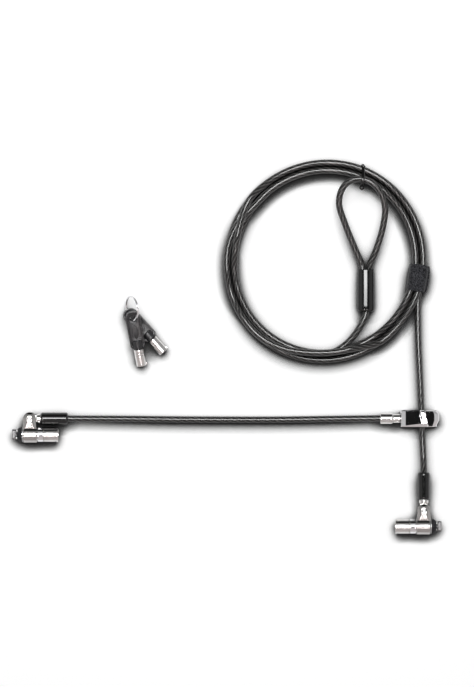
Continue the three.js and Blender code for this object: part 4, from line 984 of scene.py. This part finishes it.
def collar_shape():
    """The collar that turns on the barrel's neck, with the fork for the cable eye."""
    band = turned([
        (COLLAR_BACK, COLLAR_BORE_RADIUS), (COLLAR_BACK, COLLAR_RADIUS, 0.35),
        (COLLAR_FRONT, COLLAR_RADIUS, 0.5), (COLLAR_FRONT, COLLAR_BORE_RADIUS, 0.12),
    ], steps=96)
    web = slab([
        (-CHEEK_RADIUS, 4.2), (CHEEK_RADIUS, 4.2), (CHEEK_RADIUS, 5.2),
        (3.9, 5.6), (-3.9, 5.6), (-CHEEK_RADIUS, 5.2),
    ], -CHEEK_INSIDE - 0.05, CHEEK_INSIDE + 0.05, 0.1)
    return together(band, web, cheek(CHEEK_INSIDE, CHEEK_OUTSIDE), cheek(-CHEEK_INSIDE, -CHEEK_OUTSIDE))


def fork_pin_shape():
    """The pin through both cheeks, with a low dome at each end."""
    pin = turned([
        (-4.48, 0), (-4.4, 0.8), (-4.2, FORK_PIN_RADIUS, 0.1),
        (4.2, FORK_PIN_RADIUS, 0.1), (4.4, 0.8), (4.48, 0),
    ], closed=False, steps=40)
    upright = Matrix.Rotation(radians(90), 4, "Y")
    return moved(pin, upright, Matrix.Translation((0, FORK_PIN_HEIGHT, 0)))


def snap_ring_shape():
    """A flat spring ring with a gap."""
    rings = []
    for index in range(SNAP_RING_STEPS + 1):
        along = (360 - SNAP_RING_GAP) * index / SNAP_RING_STEPS
        angle = radians(SNAP_RING_GAP / 2 - 90 + along)
        rings.append([
            (x, r * math.cos(angle), r * math.sin(angle))
            for x, r in ((4.52, 4.22), (4.5, 4.9), (4.6, 5.0), (4.9, 5.0), (5.0, 4.9), (4.98, 4.22))
        ])
    return loft(rings)


def guide_plate_shape():
    """Two flat pins on a plate, which keep the head from turning in the slot."""
    plate = turned([
        (5.3, SPINDLE_BORE_RADIUS), (5.3, 4.5, 0.15), (5.9, 4.5, 0.15), (5.9, SPINDLE_BORE_RADIUS),
    ])
    pins = [
        rounded_block(GUIDE_PIN_SIZE, (GUIDE_PIN_MIDDLE, hand * GUIDE_PIN_ASIDE, 0), 0.22)
        for hand in (-1, 1)
    ]
    return together(plate, *pins)


def nose_shape():
    """The rubber bumper, a short cone whose skirt laps over the plate behind it."""
    return turned([
        (6.0, SPINDLE_BORE_RADIUS), (6.0, 4.55), (5.1, 4.55), (5.1, 4.95, 0.12), (7.0, 4.75, 0.5),
        (NOSE_FRONT, 3.3, 0.35), (NOSE_FRONT, SPINDLE_BORE_RADIUS, 0.15),
    ])


def t_bar_shape():
    """The spindle and the crossbar that turns behind the slot."""
    spindle = turned([
        (-0.5, 0), (-0.5, SPINDLE_RADIUS, 0.15), (SPINDLE_END, SPINDLE_RADIUS), (SPINDLE_END, 0),
    ], closed=False, steps=40)
    one_end = arc((BAR_HALF_LENGTH, 0), BAR_RADIUS, -90, 90, 14)
    other_end = arc((-BAR_HALF_LENGTH, 0), BAR_RADIUS, 90, 270, 14)
    bar = slab(one_end + other_end, BAR_BACK, BAR_FRONT, 0.3)
    across_head = Matrix(((0, 0, 1, 0), (1, 0, 0, 0), (0, 1, 0, 0), (0, 0, 0, 1)))
    return together(spindle, moved(bar, across_head))


def stator_shape():
    """The pin block in the key opening, with the post that the key's barrel slides over."""
    return turned([
        (-18.5, 0), (-18.5, POST_RADIUS, 0.25), (PIN_BLOCK_BACK, POST_RADIUS),
        (PIN_BLOCK_BACK, PIN_BLOCK_RADIUS, 0.2), (REAR_SLEEVE_END, PIN_BLOCK_RADIUS), (REAR_SLEEVE_END, 0),
    ], closed=False)


def pin_set_shape():
    """The ring of sprung pins that the key's barrel pushes in."""
    pins = []
    for index in range(PINS):
        angle = TAU * (index + 0.5) / PINS
        pin = turned([
            (-16.5, 0), (-16.5, PIN_RADIUS, 0.18), (-13.5, PIN_RADIUS), (-13.5, 0),
        ], closed=False, steps=20)
        place = (0, PIN_CIRCLE_RADIUS * math.cos(angle), PIN_CIRCLE_RADIUS * math.sin(angle))
        pins.append(moved(pin, Matrix.Translation(place)))
    return together(*pins)


def dowel_shape():
    """The dowel through the sleeve's wall that holds the pin block."""
    dowel = turned([(2.75, 0), (2.75, 0.5), (5.02, 0.5, 0.08), (5.02, 0)], closed=False, steps=28)
    return moved(dowel, Matrix.Rotation(radians(-90), 4, "Y"), Matrix.Translation((-11.6, 0, 0)))


def cable_eye_shape():
    """The swaged eye on the cable's end: a tongue for the fork, a shoulder and a shank. The cable is
    at +Y."""
    def outline(inset):
        side = TONGUE_HALF_WIDTH - inset
        right = [(side, y) for y in (0.6, 1.4, 2.4, 3.4, 4.4, TONGUE_END)]
        top = [(x * side / TONGUE_HALF_WIDTH, TONGUE_END) for x in (1.5, 0.5, -0.5, -1.5)]
        left = [(-x, y) for x, y in right[::-1]]
        return arc((0, 0), TONGUE_RADIUS - inset, 200, 340, 28) + right + top + left

    def hole(radius):
        return drawn_in(outline(0), (0, 0), radius)

    face = [(outline(0), 1.1), (outline(0.3), 1.4), (hole(1.8), 1.4), (hole(1.6), 1.2)]
    tongue = solid_ring(both_faces(face))
    stem = turned([
        (4.7, 0), (4.7, 3.2, 0.55), (7.1, 3.2, 0.35), (7.1, SHANK_RADIUS), (SHANK_END, SHANK_RADIUS),
        (SHANK_END, 0),
    ], closed=False, steps=64)
    return together(tongue, moved(stem, Matrix.Rotation(radians(90), 4, "Z")))


def ferrule_cover_shape():
    """The gloss cover over the swaged end, rounded at both ends."""
    return moved(turned([
        (COVER_START, 2.2, 0.1), (COVER_START, COVER_RADIUS, 1.15), (COVER_END, COVER_RADIUS, 1.15),
        (COVER_END, 2.5, 0.25), (SHANK_END, 2.5), (SHANK_END, 2.2),
    ]), Matrix.Rotation(radians(90), 4, "Z"))


def add_head(side, x, y, turned_over, fold, cable_body):
    """A lock head on its barrel axis, X, with the T-bar at +X and the fork at +Y."""
    over = Matrix.Rotation(radians(180 if turned_over else 0), 4, "Y")
    head = Matrix.Translation((x, y, AXIS_HEIGHT)) @ over
    at_fork_pin = Matrix.Translation((0, FORK_PIN_HEIGHT, 0))
    cable_side = head @ at_fork_pin @ Matrix.Rotation(radians(fold), 4, "Z")
    barrel, fork, bolt = side + "_barrel", side + "_fork", side + "_bolt"
    for name, shape, look, body, place in [
        ("barrel_shell", barrel_shape(), "chrome", barrel, head),
        ("rear_sleeve", rear_sleeve_shape(), "turned nickel", barrel, head),
        ("swivel_collar", collar_shape(), "satin nickel", fork, head),
        ("fork_pin", fork_pin_shape(), "chrome", fork, head),
        ("snap_ring", snap_ring_shape(), "steel", barrel, head),
        ("guide_plate", guide_plate_shape(), "bright steel", barrel, head),
        ("nose_bumper", nose_shape(), "rubber", barrel, head),
        ("t_bar", t_bar_shape(), "dark steel", bolt, head),
        ("lock_stator", stator_shape(), "brass", barrel, head),
        ("pin_set", pin_set_shape(), "steel", barrel, head),
        ("stator_dowel", dowel_shape(), "steel", barrel, head),
        ("cable_eye", cable_eye_shape(), "nickel", cable_body, cable_side),
        ("ferrule_cover", ferrule_cover_shape(), "gloss", cable_body, cable_side),
    ]:
        finish(f"{side}_{name}_piece", shape, look, body, [f"{side}_{name}"], place)


add_head("right", 131.3, -74.1, turned_over=False, fold=0, cable_body="main_cable")
add_head("left", -131.3, -12.9, turned_over=True, fold=90, cable_body="slider")

# ---- Slider loop and its ferrule ----------------------------------------------------------------------

SLIDER_X, SLIDER_Y, SLIDER_Z = 128.6, -2.2, 4.7
SLIDER_HALF_WIDTH, SLIDER_HALF_LENGTH, SLIDER_HALF_HEIGHT = 13.0, 5.5, 4.7
SLIDER_WALL = 1.6
SECTION_STEPS, SECTION_SIDES = 9, 44  # points round a corner of its section, and along a side
SEAT_START, SEAT_END, SEAT_SLANT = 0.6, 4.6, 0.2
SEAT_FRONT, SEAT_BACK, SEAT_SLOPE = -2.2, 3.4, 0.075  # the seat gets deeper between these
END_BEVEL, BEVEL_SLOPE = 3.4, 0.36
FRONT_BEVEL_LEAST, FRONT_BEVEL_GROWTH = 0.5, 0.12  # how wide, and how much wider for each millimetre
FRONT_BEVEL_END, FRONT_BEVEL_FADE = 5.0, 0.8
TOP_START, TOP_RAMP = 2.0, 2.0  # where the section's upper part begins, over its middle
FAR_RADIUS, FAR_DEEPEST, FAR_START, FAR_RAMP = 4.0, 2.6, 3, 9  # of the far end's rounding in plan
BACK_CHAMFER, MOUTH_FLARE = 0.6, 0.25
FERRULE_START, FERRULE_END, FERRULE_RADIUS = 102.3, 110.3, 3.7
FERRULE_NECK_END, FERRULE_NECK_RADIUS = 115.3, 3.0
FERRULE_BORE_RADIUS, FERRULE_BORE_END = 2.5, 108.3
STUD_RADIUS, RIVET_START, RIVET_END, RIVET_RADIUS = 1.3, 117.5, 118.5, 2.0


def rounded_section(half_width, half_height, radius):
    """A rounded rectangle about the origin, with points along its sides too."""
    centres = [
        (right * (half_width - radius), up * (half_height - radius))
        for right, up in ((1, 1), (-1, 1), (-1, -1), (1, -1))
    ]
    points = []
    for index, centre in enumerate(centres):
        start = 90 * index
        points += arc(centre, radius, start, start + 90, SECTION_STEPS)
        side_start = points[-1]
        side_end = arc(centres[(index + 1) % 4], radius, start + 90, start + 90, 1)[0]
        for step in range(1, SECTION_SIDES):
            points.append(part_way(side_start, side_end, step / SECTION_SIDES))
    return points


def slider_top(x, along):
    """How far the loop's top dips: a shallow slanted seat over the cable, deeper towards the back."""
    along = min(max(along, SEAT_FRONT), SEAT_BACK)
    place = x + SEAT_SLANT * along
    seat = eased(place - SEAT_START) * eased(SEAT_END - place)
    return SEAT_SLOPE * seat * (along - SEAT_FRONT)


def slider_shape():
    """The loop that rides on the main cable, with a wide bevel along its front and a rounded far end."""
    outer = []
    for x, z in rounded_section(SLIDER_HALF_WIDTH, SLIDER_HALF_HEIGHT, 3.0):
        past_bevel = max(END_BEVEL - SLIDER_HALF_WIDTH + abs(x), 0)
        outer.append((x, min(z, SLIDER_HALF_HEIGHT - BEVEL_SLOPE * past_bevel)))
    inner = rounded_section(SLIDER_HALF_WIDTH - SLIDER_WALL, SLIDER_HALF_HEIGHT - SLIDER_WALL, 1.4)

    def upper_part(z):
        return eased((z - TOP_START) / TOP_RAMP)

    def placed_point(x, z, y, inset):
        beyond = max(abs(y) - (SLIDER_HALF_LENGTH - FAR_RADIUS), 0)
        rounding = FAR_RADIUS - math.sqrt(max(FAR_RADIUS ** 2 - beyond * beyond, 0))
        far = min(rounding, FAR_DEEPEST) * eased((x - FAR_START) / FAR_RAMP)
        upper = upper_part(z)
        return (
            SLIDER_X + x * (1 - (far + inset * (1 - upper)) / SLIDER_HALF_WIDTH), SLIDER_Y + y,
            SLIDER_Z + z * (1 - inset / SLIDER_HALF_HEIGHT) - upper * slider_top(x, y),
        )

    def shell(along, inset):
        return [placed_point(x, z, along, inset) for x, z in outer]

    def front(share):
        """A ring of the front bevel: 0 at its outer edge, 1 where it meets the top."""
        ring = []
        for x, z in outer:
            fades = 1 - eased((x - FRONT_BEVEL_END) / FRONT_BEVEL_FADE)
            growth = FRONT_BEVEL_GROWTH * (x + SLIDER_HALF_WIDTH) * fades
            wide = FRONT_BEVEL_LEAST + upper_part(z) * growth
            along = wide * share - SLIDER_HALF_LENGTH
            ring.append(placed_point(x, z, along, wide * (1 - share) * BEVEL_SLOPE))
        return ring

    rings = [front(share) for share in (0, 0.06, 0.5, 0.94, 1.0)]
    for along in (-1.2, -0.5, 0.3, 1.1, 1.9, 2.7, 3.3, 3.5, 4.2, 5.0):
        rings.append(shell(along, 0))
    rings.append(shell(SLIDER_HALF_LENGTH, BACK_CHAMFER))
    edge, rim = SLIDER_HALF_LENGTH - 0.02, SLIDER_HALF_LENGTH - 0.3
    for along, flare in ((edge, MOUTH_FLARE), (rim, 0.0), (-rim, 0.0), (-edge, MOUTH_FLARE)):
        grow_x = 1 + flare / SLIDER_HALF_WIDTH
        grow_z = 1 + flare / SLIDER_HALF_HEIGHT
        rings.append([
            (SLIDER_X + x * grow_x, SLIDER_Y + along, SLIDER_Z + z * grow_z) for x, z in inner
        ])
    return loft(rings, closed=True)


def slider_ferrule_shape():
    """The swaged ferrule with its narrower neck, and the rivet head inside the loop."""
    shape = turned([
        (FERRULE_START, FERRULE_BORE_RADIUS, 0.1), (FERRULE_START, FERRULE_RADIUS, 0.5),
        (FERRULE_END, FERRULE_RADIUS, 0.4), (FERRULE_END + 0.6, FERRULE_NECK_RADIUS, 0.3),
        (FERRULE_NECK_END, FERRULE_NECK_RADIUS, 0.25), (FERRULE_NECK_END, STUD_RADIUS),
        (RIVET_START, STUD_RADIUS), (RIVET_START, RIVET_RADIUS, 0.15), (RIVET_END, RIVET_RADIUS, 0.4),
        (RIVET_END, 0.0), (FERRULE_BORE_END, 0.0), (FERRULE_BORE_END, FERRULE_BORE_RADIUS),
    ], steps=64)
    return moved(shape, Matrix.Translation((0, SLIDER_Y, SLIDER_Z)))


finish("slider_loop_piece", slider_shape(), "chrome", "slider", ["slider_loop"], sharp=14)
finish("slider_ferrule_piece", slider_ferrule_shape(), "nickel", "slider", ["slider_ferrule"])

# ---- Keys and ring ------------------------------------------------------------------------------------

KEY_TIP, KEY_RADIUS, KEY_BORE_RADIUS = 24.8, 3.45, 2.3
BOW_HALF_WIDTH, BOW_START, BOW_END = 5.0, -8.0, 13.0
BOW_CORNER = 2  # cut off each corner at the barrel's end
BOW_HOLE_X = -7.3


def bow_shape():
    """The moulded bow: an arched plate with a sunk panel on each face, a hole, and a boss for the
    barrel."""
    def outline(inset):
        half, end = BOW_HALF_WIDTH - inset, BOW_END - inset
        side = (-6, -4, -2, 0, 2, 4, 6, 8, 9.5)
        points = arc((BOW_START, 0), half, 90, 270, 40) + [(x, -half) for x in side]
        halfway = (half - BOW_CORNER) / 2
        points += [
            (end - BOW_CORNER, -half), (end, BOW_CORNER - half), (end, -halfway), (end, 0),
            (end, halfway), (end, half - BOW_CORNER), (end - BOW_CORNER, half),
        ]
        return points + [(x, half) for x in side[::-1]]

    def hole(radius):
        return drawn_in(outline(0), (BOW_HOLE_X, 0), radius)

    face = [(outline(0), 1.15), (outline(0.1), 1.4), (outline(0.35), 1.5), (outline(0.95), 1.5),
            (outline(1.15), 1.4), (outline(1.25), 0.95), (outline(1.45), 0.88), (hole(3.0), 0.88),
            (hole(2.75), 0.8), (hole(2.7), 0.6)]
    plate = solid_ring(both_faces(face))
    boss = turned([
        (7.2, 0), (7.2, 3.3, 0.5), (7.9, KEY_RADIUS, 0.2), (BOW_END, KEY_RADIUS, 0.35), (BOW_END, 0),
    ], closed=False, steps=56)
    rib = slab(oval(9.5, 4.2, 40), -1.22, 1.22, 0.22)
    return together(plate, boss, moved(rib, Matrix.Translation((1.2, 0, 0))))


def key_barrel_shape():
    """The tubular barrel, with its bore, two fine grooves and the lug that finds the lock's slot."""
    start, bore_end = BOW_END + 0.3, 15.8
    outline = [(start, 0), (start, 3.3, 0.2), (start + 0.7, KEY_RADIUS)]
    for groove in (15.8, 17.6):
        outline += [
            (groove - 0.2, KEY_RADIUS, 0.05), (groove, KEY_RADIUS - 0.2), (groove + 0.2, KEY_RADIUS, 0.05),
        ]
    outline += [
        (KEY_TIP, KEY_RADIUS, 0.3), (KEY_TIP, KEY_BORE_RADIUS, 0.2),
        (bore_end, KEY_BORE_RADIUS), (bore_end, 0),
    ]
    lug = rounded_block((1.8, 0.9, 1.8), (KEY_TIP - 0.9, KEY_RADIUS, 0), 0.25)
    return together(turned(outline, closed=False, steps=80), lug)


def add_key(name, x, y, yaw, pitch):
    """A key that rests on its tip, turned and tilted."""
    dip = radians(pitch)
    height = KEY_RADIUS * math.cos(dip) + 0.05 + KEY_TIP * math.sin(dip)
    place = (
        Matrix.Translation((x, y, height)) @ Matrix.Rotation(radians(yaw), 4, "Z")
        @ Matrix.Rotation(dip, 4, "Y")
    )
    finish(name + "_bow_piece", bow_shape(), "plastic", name, [name + "_bow"], place)
    finish(name + "_barrel_piece", key_barrel_shape(), "nickel", name, [name + "_barrel"], place)


add_key("key_1", -61.0, 56.9, yaw=-80, pitch=13.7)
add_key("key_2", -58.7, 60.5, yaw=-48, pitch=1.7)

RING_INSIDE, RING_OUTSIDE, WIRE_BOTTOM, WIRE_TOP = 7.45, 8.55, -0.3, 0.28
RING_TURNS, RING_RISE, RING_STEPS = 1.93, 0.62, 170  # its rise is for each turn


def split_ring_shape():
    """A split ring: flat spring wire wound twice round."""
    shape = bmesh.new()
    corners = [
        (RING_INSIDE, WIRE_BOTTOM), (RING_OUTSIDE, WIRE_BOTTOM),
        (RING_OUTSIDE, WIRE_TOP), (RING_INSIDE, WIRE_TOP),
    ]
    verts = [shape.verts.new((radius, 0, height)) for radius, height in corners]
    for pair in zip(verts, verts[1:] + verts[:1]):
        shape.edges.new(pair)
    for vert in verts:
        round_corner(shape, vert, 0.22)
    start = bmesh.ops.contextual_create(shape, geom=shape.edges[:])["faces"]
    rise = RING_RISE * RING_TURNS
    bmesh.ops.spin(
        shape, geom=start, cent=(0, 0, 0), axis=(0, 0, 1), dvec=(0, 0, rise / RING_STEPS),
        angle=TAU * RING_TURNS, steps=RING_STEPS, use_merge=False, use_duplicate=False,
    )
    bmesh.ops.translate(shape, verts=shape.verts[:], vec=(0, 0, -rise / 2))
    return shape


ring_place = (
    Matrix.Translation((-63.2, 71.2, 8.9)) @ Matrix.Rotation(radians(-82), 4, "Z")
    @ Matrix.Rotation(radians(61), 4, "X")
)
finish("split_ring", split_ring_shape(), "chrome", "ring", ["key_ring"], ring_place)

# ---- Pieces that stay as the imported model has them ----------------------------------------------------

for node_name, look in [
    ("right_lock_rotor", "brass"), ("left_lock_rotor", "brass"), ("eye_crimp", "steel"),
]:
    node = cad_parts[node_name]
    node.data.materials.clear()
    node.data.materials.append(FINISHES[look][0])

# ---- Floor, lamps and surroundings --------------------------------------------------------------------

TABLE_REACH, TABLE_DROP, TABLE_TONE = 3.0, 0.00002, 0.86
TABLE_GLOW = 0.26  # under the object; the table is plain white further off
GLOW_NEAR, GLOW_FAR = 0.32, 1.0
# These shape the painted shadow in the table's colour and glow.
SHADOW_LEAN = 36  # the painted shadow leans towards the back, so the front side of each thing has the deeper painted shadow
SHADOW_REACH = 0.009
SHADOW_OPEN = (0.55, 0.97)  # how open the table is where its shadow is full, and where it ends
SHADOW_TONE = 0.06
LAMP_AIM = (0.0068, 0.03, 0)
SOFT_LIGHT = 0.25

# The studio in reflections. Each pair is where a form begins and where it is whole, or the other way
# round, as parts of a direction: to a side, to the back and up.
PANEL_SIDES, PANEL_FRONT, PANEL_BACK = (0.26, 0.18), (-0.012, 0.02), (0.38, 0.26)
PANEL_RIGHT, PANEL_RIGHT_SHARE = (0.12, 0.19), 0.15  # the panel is weaker beyond these
WING_FRONT, WING_BACK, WING_INSIDE = (-0.5, -0.4), (-0.09, -0.14), (0.09, 0.13)
PANEL_LEVEL, WING_SHARE = 18.0, 0.6
BEHIND_START, BEHIND_END, FRONT_START = (0.05, 0.2), (0.86, 0.68), (-0.14, -0.3)
SIDES_START, SIDES_BACK, LOW_START, LOW_BACK = (0.35, 0.6), (0.1, 0.5), (0.5, 0.25), (0.0, 0.5)
BANK_END = 0.05  # what is left of the side banks and the horizon at the back
WARM_START = (0.05, -0.3)
BACK_BANK, FRONT_BANK, SIDE_BANK, HORIZON, DARKEST = 0.45, 0.62, 0.65, 0.4, 0.012
WHITE, WARM_WHITE = (1, 1, 1, 1), (1.0, 0.92, 0.91, 1)


def seen_in_reflections(tree):
    """Whether the camera sees it, and whether metal or glass does."""
    path = tree.nodes.new("ShaderNodeLightPath")
    mirrored = maths(tree, "MAXIMUM", path.outputs["Is Glossy Ray"], path.outputs["Is Transmission Ray"])
    return path.outputs["Is Camera Ray"], mirrored


def make_floor():
    """A white table top, which keeps the shadows cast on it and has a painted shadow in its colour and
    glow, darker close under the things on it.
    """
    shape = bmesh.new()
    bmesh.ops.create_grid(shape, x_segments=1, y_segments=1, size=TABLE_REACH)
    mesh = bpy.data.meshes.new("table")
    shape.to_mesh(mesh)
    shape.free()
    material = bpy.data.materials.new("white table")
    material.use_nodes = True
    tree = material.node_tree
    tree.nodes.clear()
    # Painted shadow: the table's colour and its glow darken where things stand close over it.
    lean = radians(SHADOW_LEAN)
    leaning = add(tree, "ShaderNodeCombineXYZ", {0: 0.0, 1: math.sin(lean), 2: math.cos(lean)})
    around = add(tree, "ShaderNodeAmbientOcclusion", {
        "Distance": SHADOW_REACH, "Normal": leaning.outputs[0],
    }, samples=12)
    clear_of_painted_shadow = ramped(tree, around.outputs["AO"], *SHADOW_OPEN)
    tone = blended(tree, clear_of_painted_shadow, (SHADOW_TONE,) * 3, (TABLE_TONE,) * 3)
    lit = add(tree, "ShaderNodeBsdfDiffuse", {"Color": tone})
    seen = maths(tree, "MAXIMUM", *seen_in_reflections(tree))
    away = add(tree, "ShaderNodeVectorMath", {0: object_place(tree)}, operation="LENGTH").outputs["Value"]
    level = ramped(tree, away, GLOW_NEAR, GLOW_FAR, TABLE_GLOW, 1.0)
    glow = folded(tree, "MULTIPLY", seen, clear_of_painted_shadow, level)
    shown = add(tree, "ShaderNodeEmission", {"Strength": glow})
    whole = add(tree, "ShaderNodeAddShader", {0: lit.outputs[0], 1: shown.outputs[0]})
    tree.links.new(whole.outputs[0], tree.nodes.new("ShaderNodeOutputMaterial").inputs["Surface"])
    mesh.materials.append(material)
    table = bpy.data.objects.new("table", mesh)
    table.location.z = -TABLE_DROP
    bpy.context.collection.objects.link(table)


def add_lamp(name, place, size, power):
    """A soft rectangular lamp that shows neither itself nor its reflection."""
    data = bpy.data.lights.new(name, "AREA")
    data.shape = "RECTANGLE"
    data.size, data.size_y = size
    data.energy = power
    lamp = bpy.data.objects.new(name, data)
    lamp.location = place
    lamp.rotation_euler = (Vector(LAMP_AIM) - Vector(place)).to_track_quat("-Z", "Y").to_euler()
    lamp.visible_camera = False
    lamp.visible_glossy = False
    bpy.context.collection.objects.link(lamp)


def studio_level(tree, right, back, up):
    """How bright the studio is in a direction: a panel that starts overhead and runs to the back, two
    wings in front of it, and pale banks behind, in front and at both sides."""
    aside = maths(tree, "ABSOLUTE", right)

    def product(*values):
        return folded(tree, "MULTIPLY", *values)

    width = product(
        ramped(tree, aside, *PANEL_SIDES), ramped(tree, right, *PANEL_RIGHT, 1.0, PANEL_RIGHT_SHARE),
    )
    depth = product(ramped(tree, back, *PANEL_FRONT), ramped(tree, back, *PANEL_BACK))
    wings = product(
        ramped(tree, back, *WING_FRONT), ramped(tree, back, *WING_BACK),
        ramped(tree, aside, *WING_INSIDE, 0.0, WING_SHARE),
    )
    panel = product(width, maths(tree, "MAXIMUM", depth, wings), PANEL_LEVEL)
    behind = product(ramped(tree, back, *BEHIND_START), ramped(tree, back, *BEHIND_END, 0.0, BACK_BANK))
    front = product(ramped(tree, back, *FRONT_START), FRONT_BANK)
    sides = product(
        ramped(tree, aside, *SIDES_START), ramped(tree, back, *SIDES_BACK, SIDE_BANK, BANK_END),
    )
    low = product(ramped(tree, up, *LOW_START), ramped(tree, back, *LOW_BACK, HORIZON, BANK_END))
    return maths(tree, "ADD", panel, folded(tree, "MAXIMUM", behind, front, sides, low, DARKEST))


def light_surroundings():
    """White for the camera, soft light on the object, and a studio in reflections."""
    world = bpy.data.worlds.new("studio")
    bpy.context.scene.world = world
    world.use_nodes = True
    tree = world.node_tree
    tree.nodes.clear()
    direction = add(tree, "ShaderNodeTexCoord").outputs["Generated"]
    right, back, up = add(tree, "ShaderNodeSeparateXYZ", {0: direction}).outputs
    warm = add(tree, "ShaderNodeMix", {"Factor": ramped(tree, back, *WARM_START)}, data_type="RGBA")
    warm.inputs[6].default_value, warm.inputs[7].default_value = WHITE, WARM_WHITE  # its two colours
    camera_ray, mirrored = seen_in_reflections(tree)
    shown = add(tree, "ShaderNodeBackground", {"Color": WHITE, "Strength": 1.0})
    studio = add(tree, "ShaderNodeBackground", {
        "Color": warm.outputs[2],  # the mixed colour, after its number and its vector
        "Strength": studio_level(tree, right, back, up),
    })
    even = add(tree, "ShaderNodeBackground", {"Color": WHITE, "Strength": SOFT_LIGHT})
    first = add(tree, "ShaderNodeMixShader", {0: mirrored, 1: even.outputs[0], 2: studio.outputs[0]})
    last = add(tree, "ShaderNodeMixShader", {0: camera_ray, 1: first.outputs[0], 2: shown.outputs[0]})
    tree.links.new(last.outputs[0], tree.nodes.new("ShaderNodeOutputWorld").inputs["Surface"])


make_floor()
add_lamp("overhead softbox", (0.0, 0.45, 1.5), (0.9, 0.7), 14.0)
add_lamp("wide fill", (0.0, 1.3, 1.7), (1.8, 1.0), 12.0)
light_surroundings()
bpy.context.scene.view_settings.view_transform = "Standard"
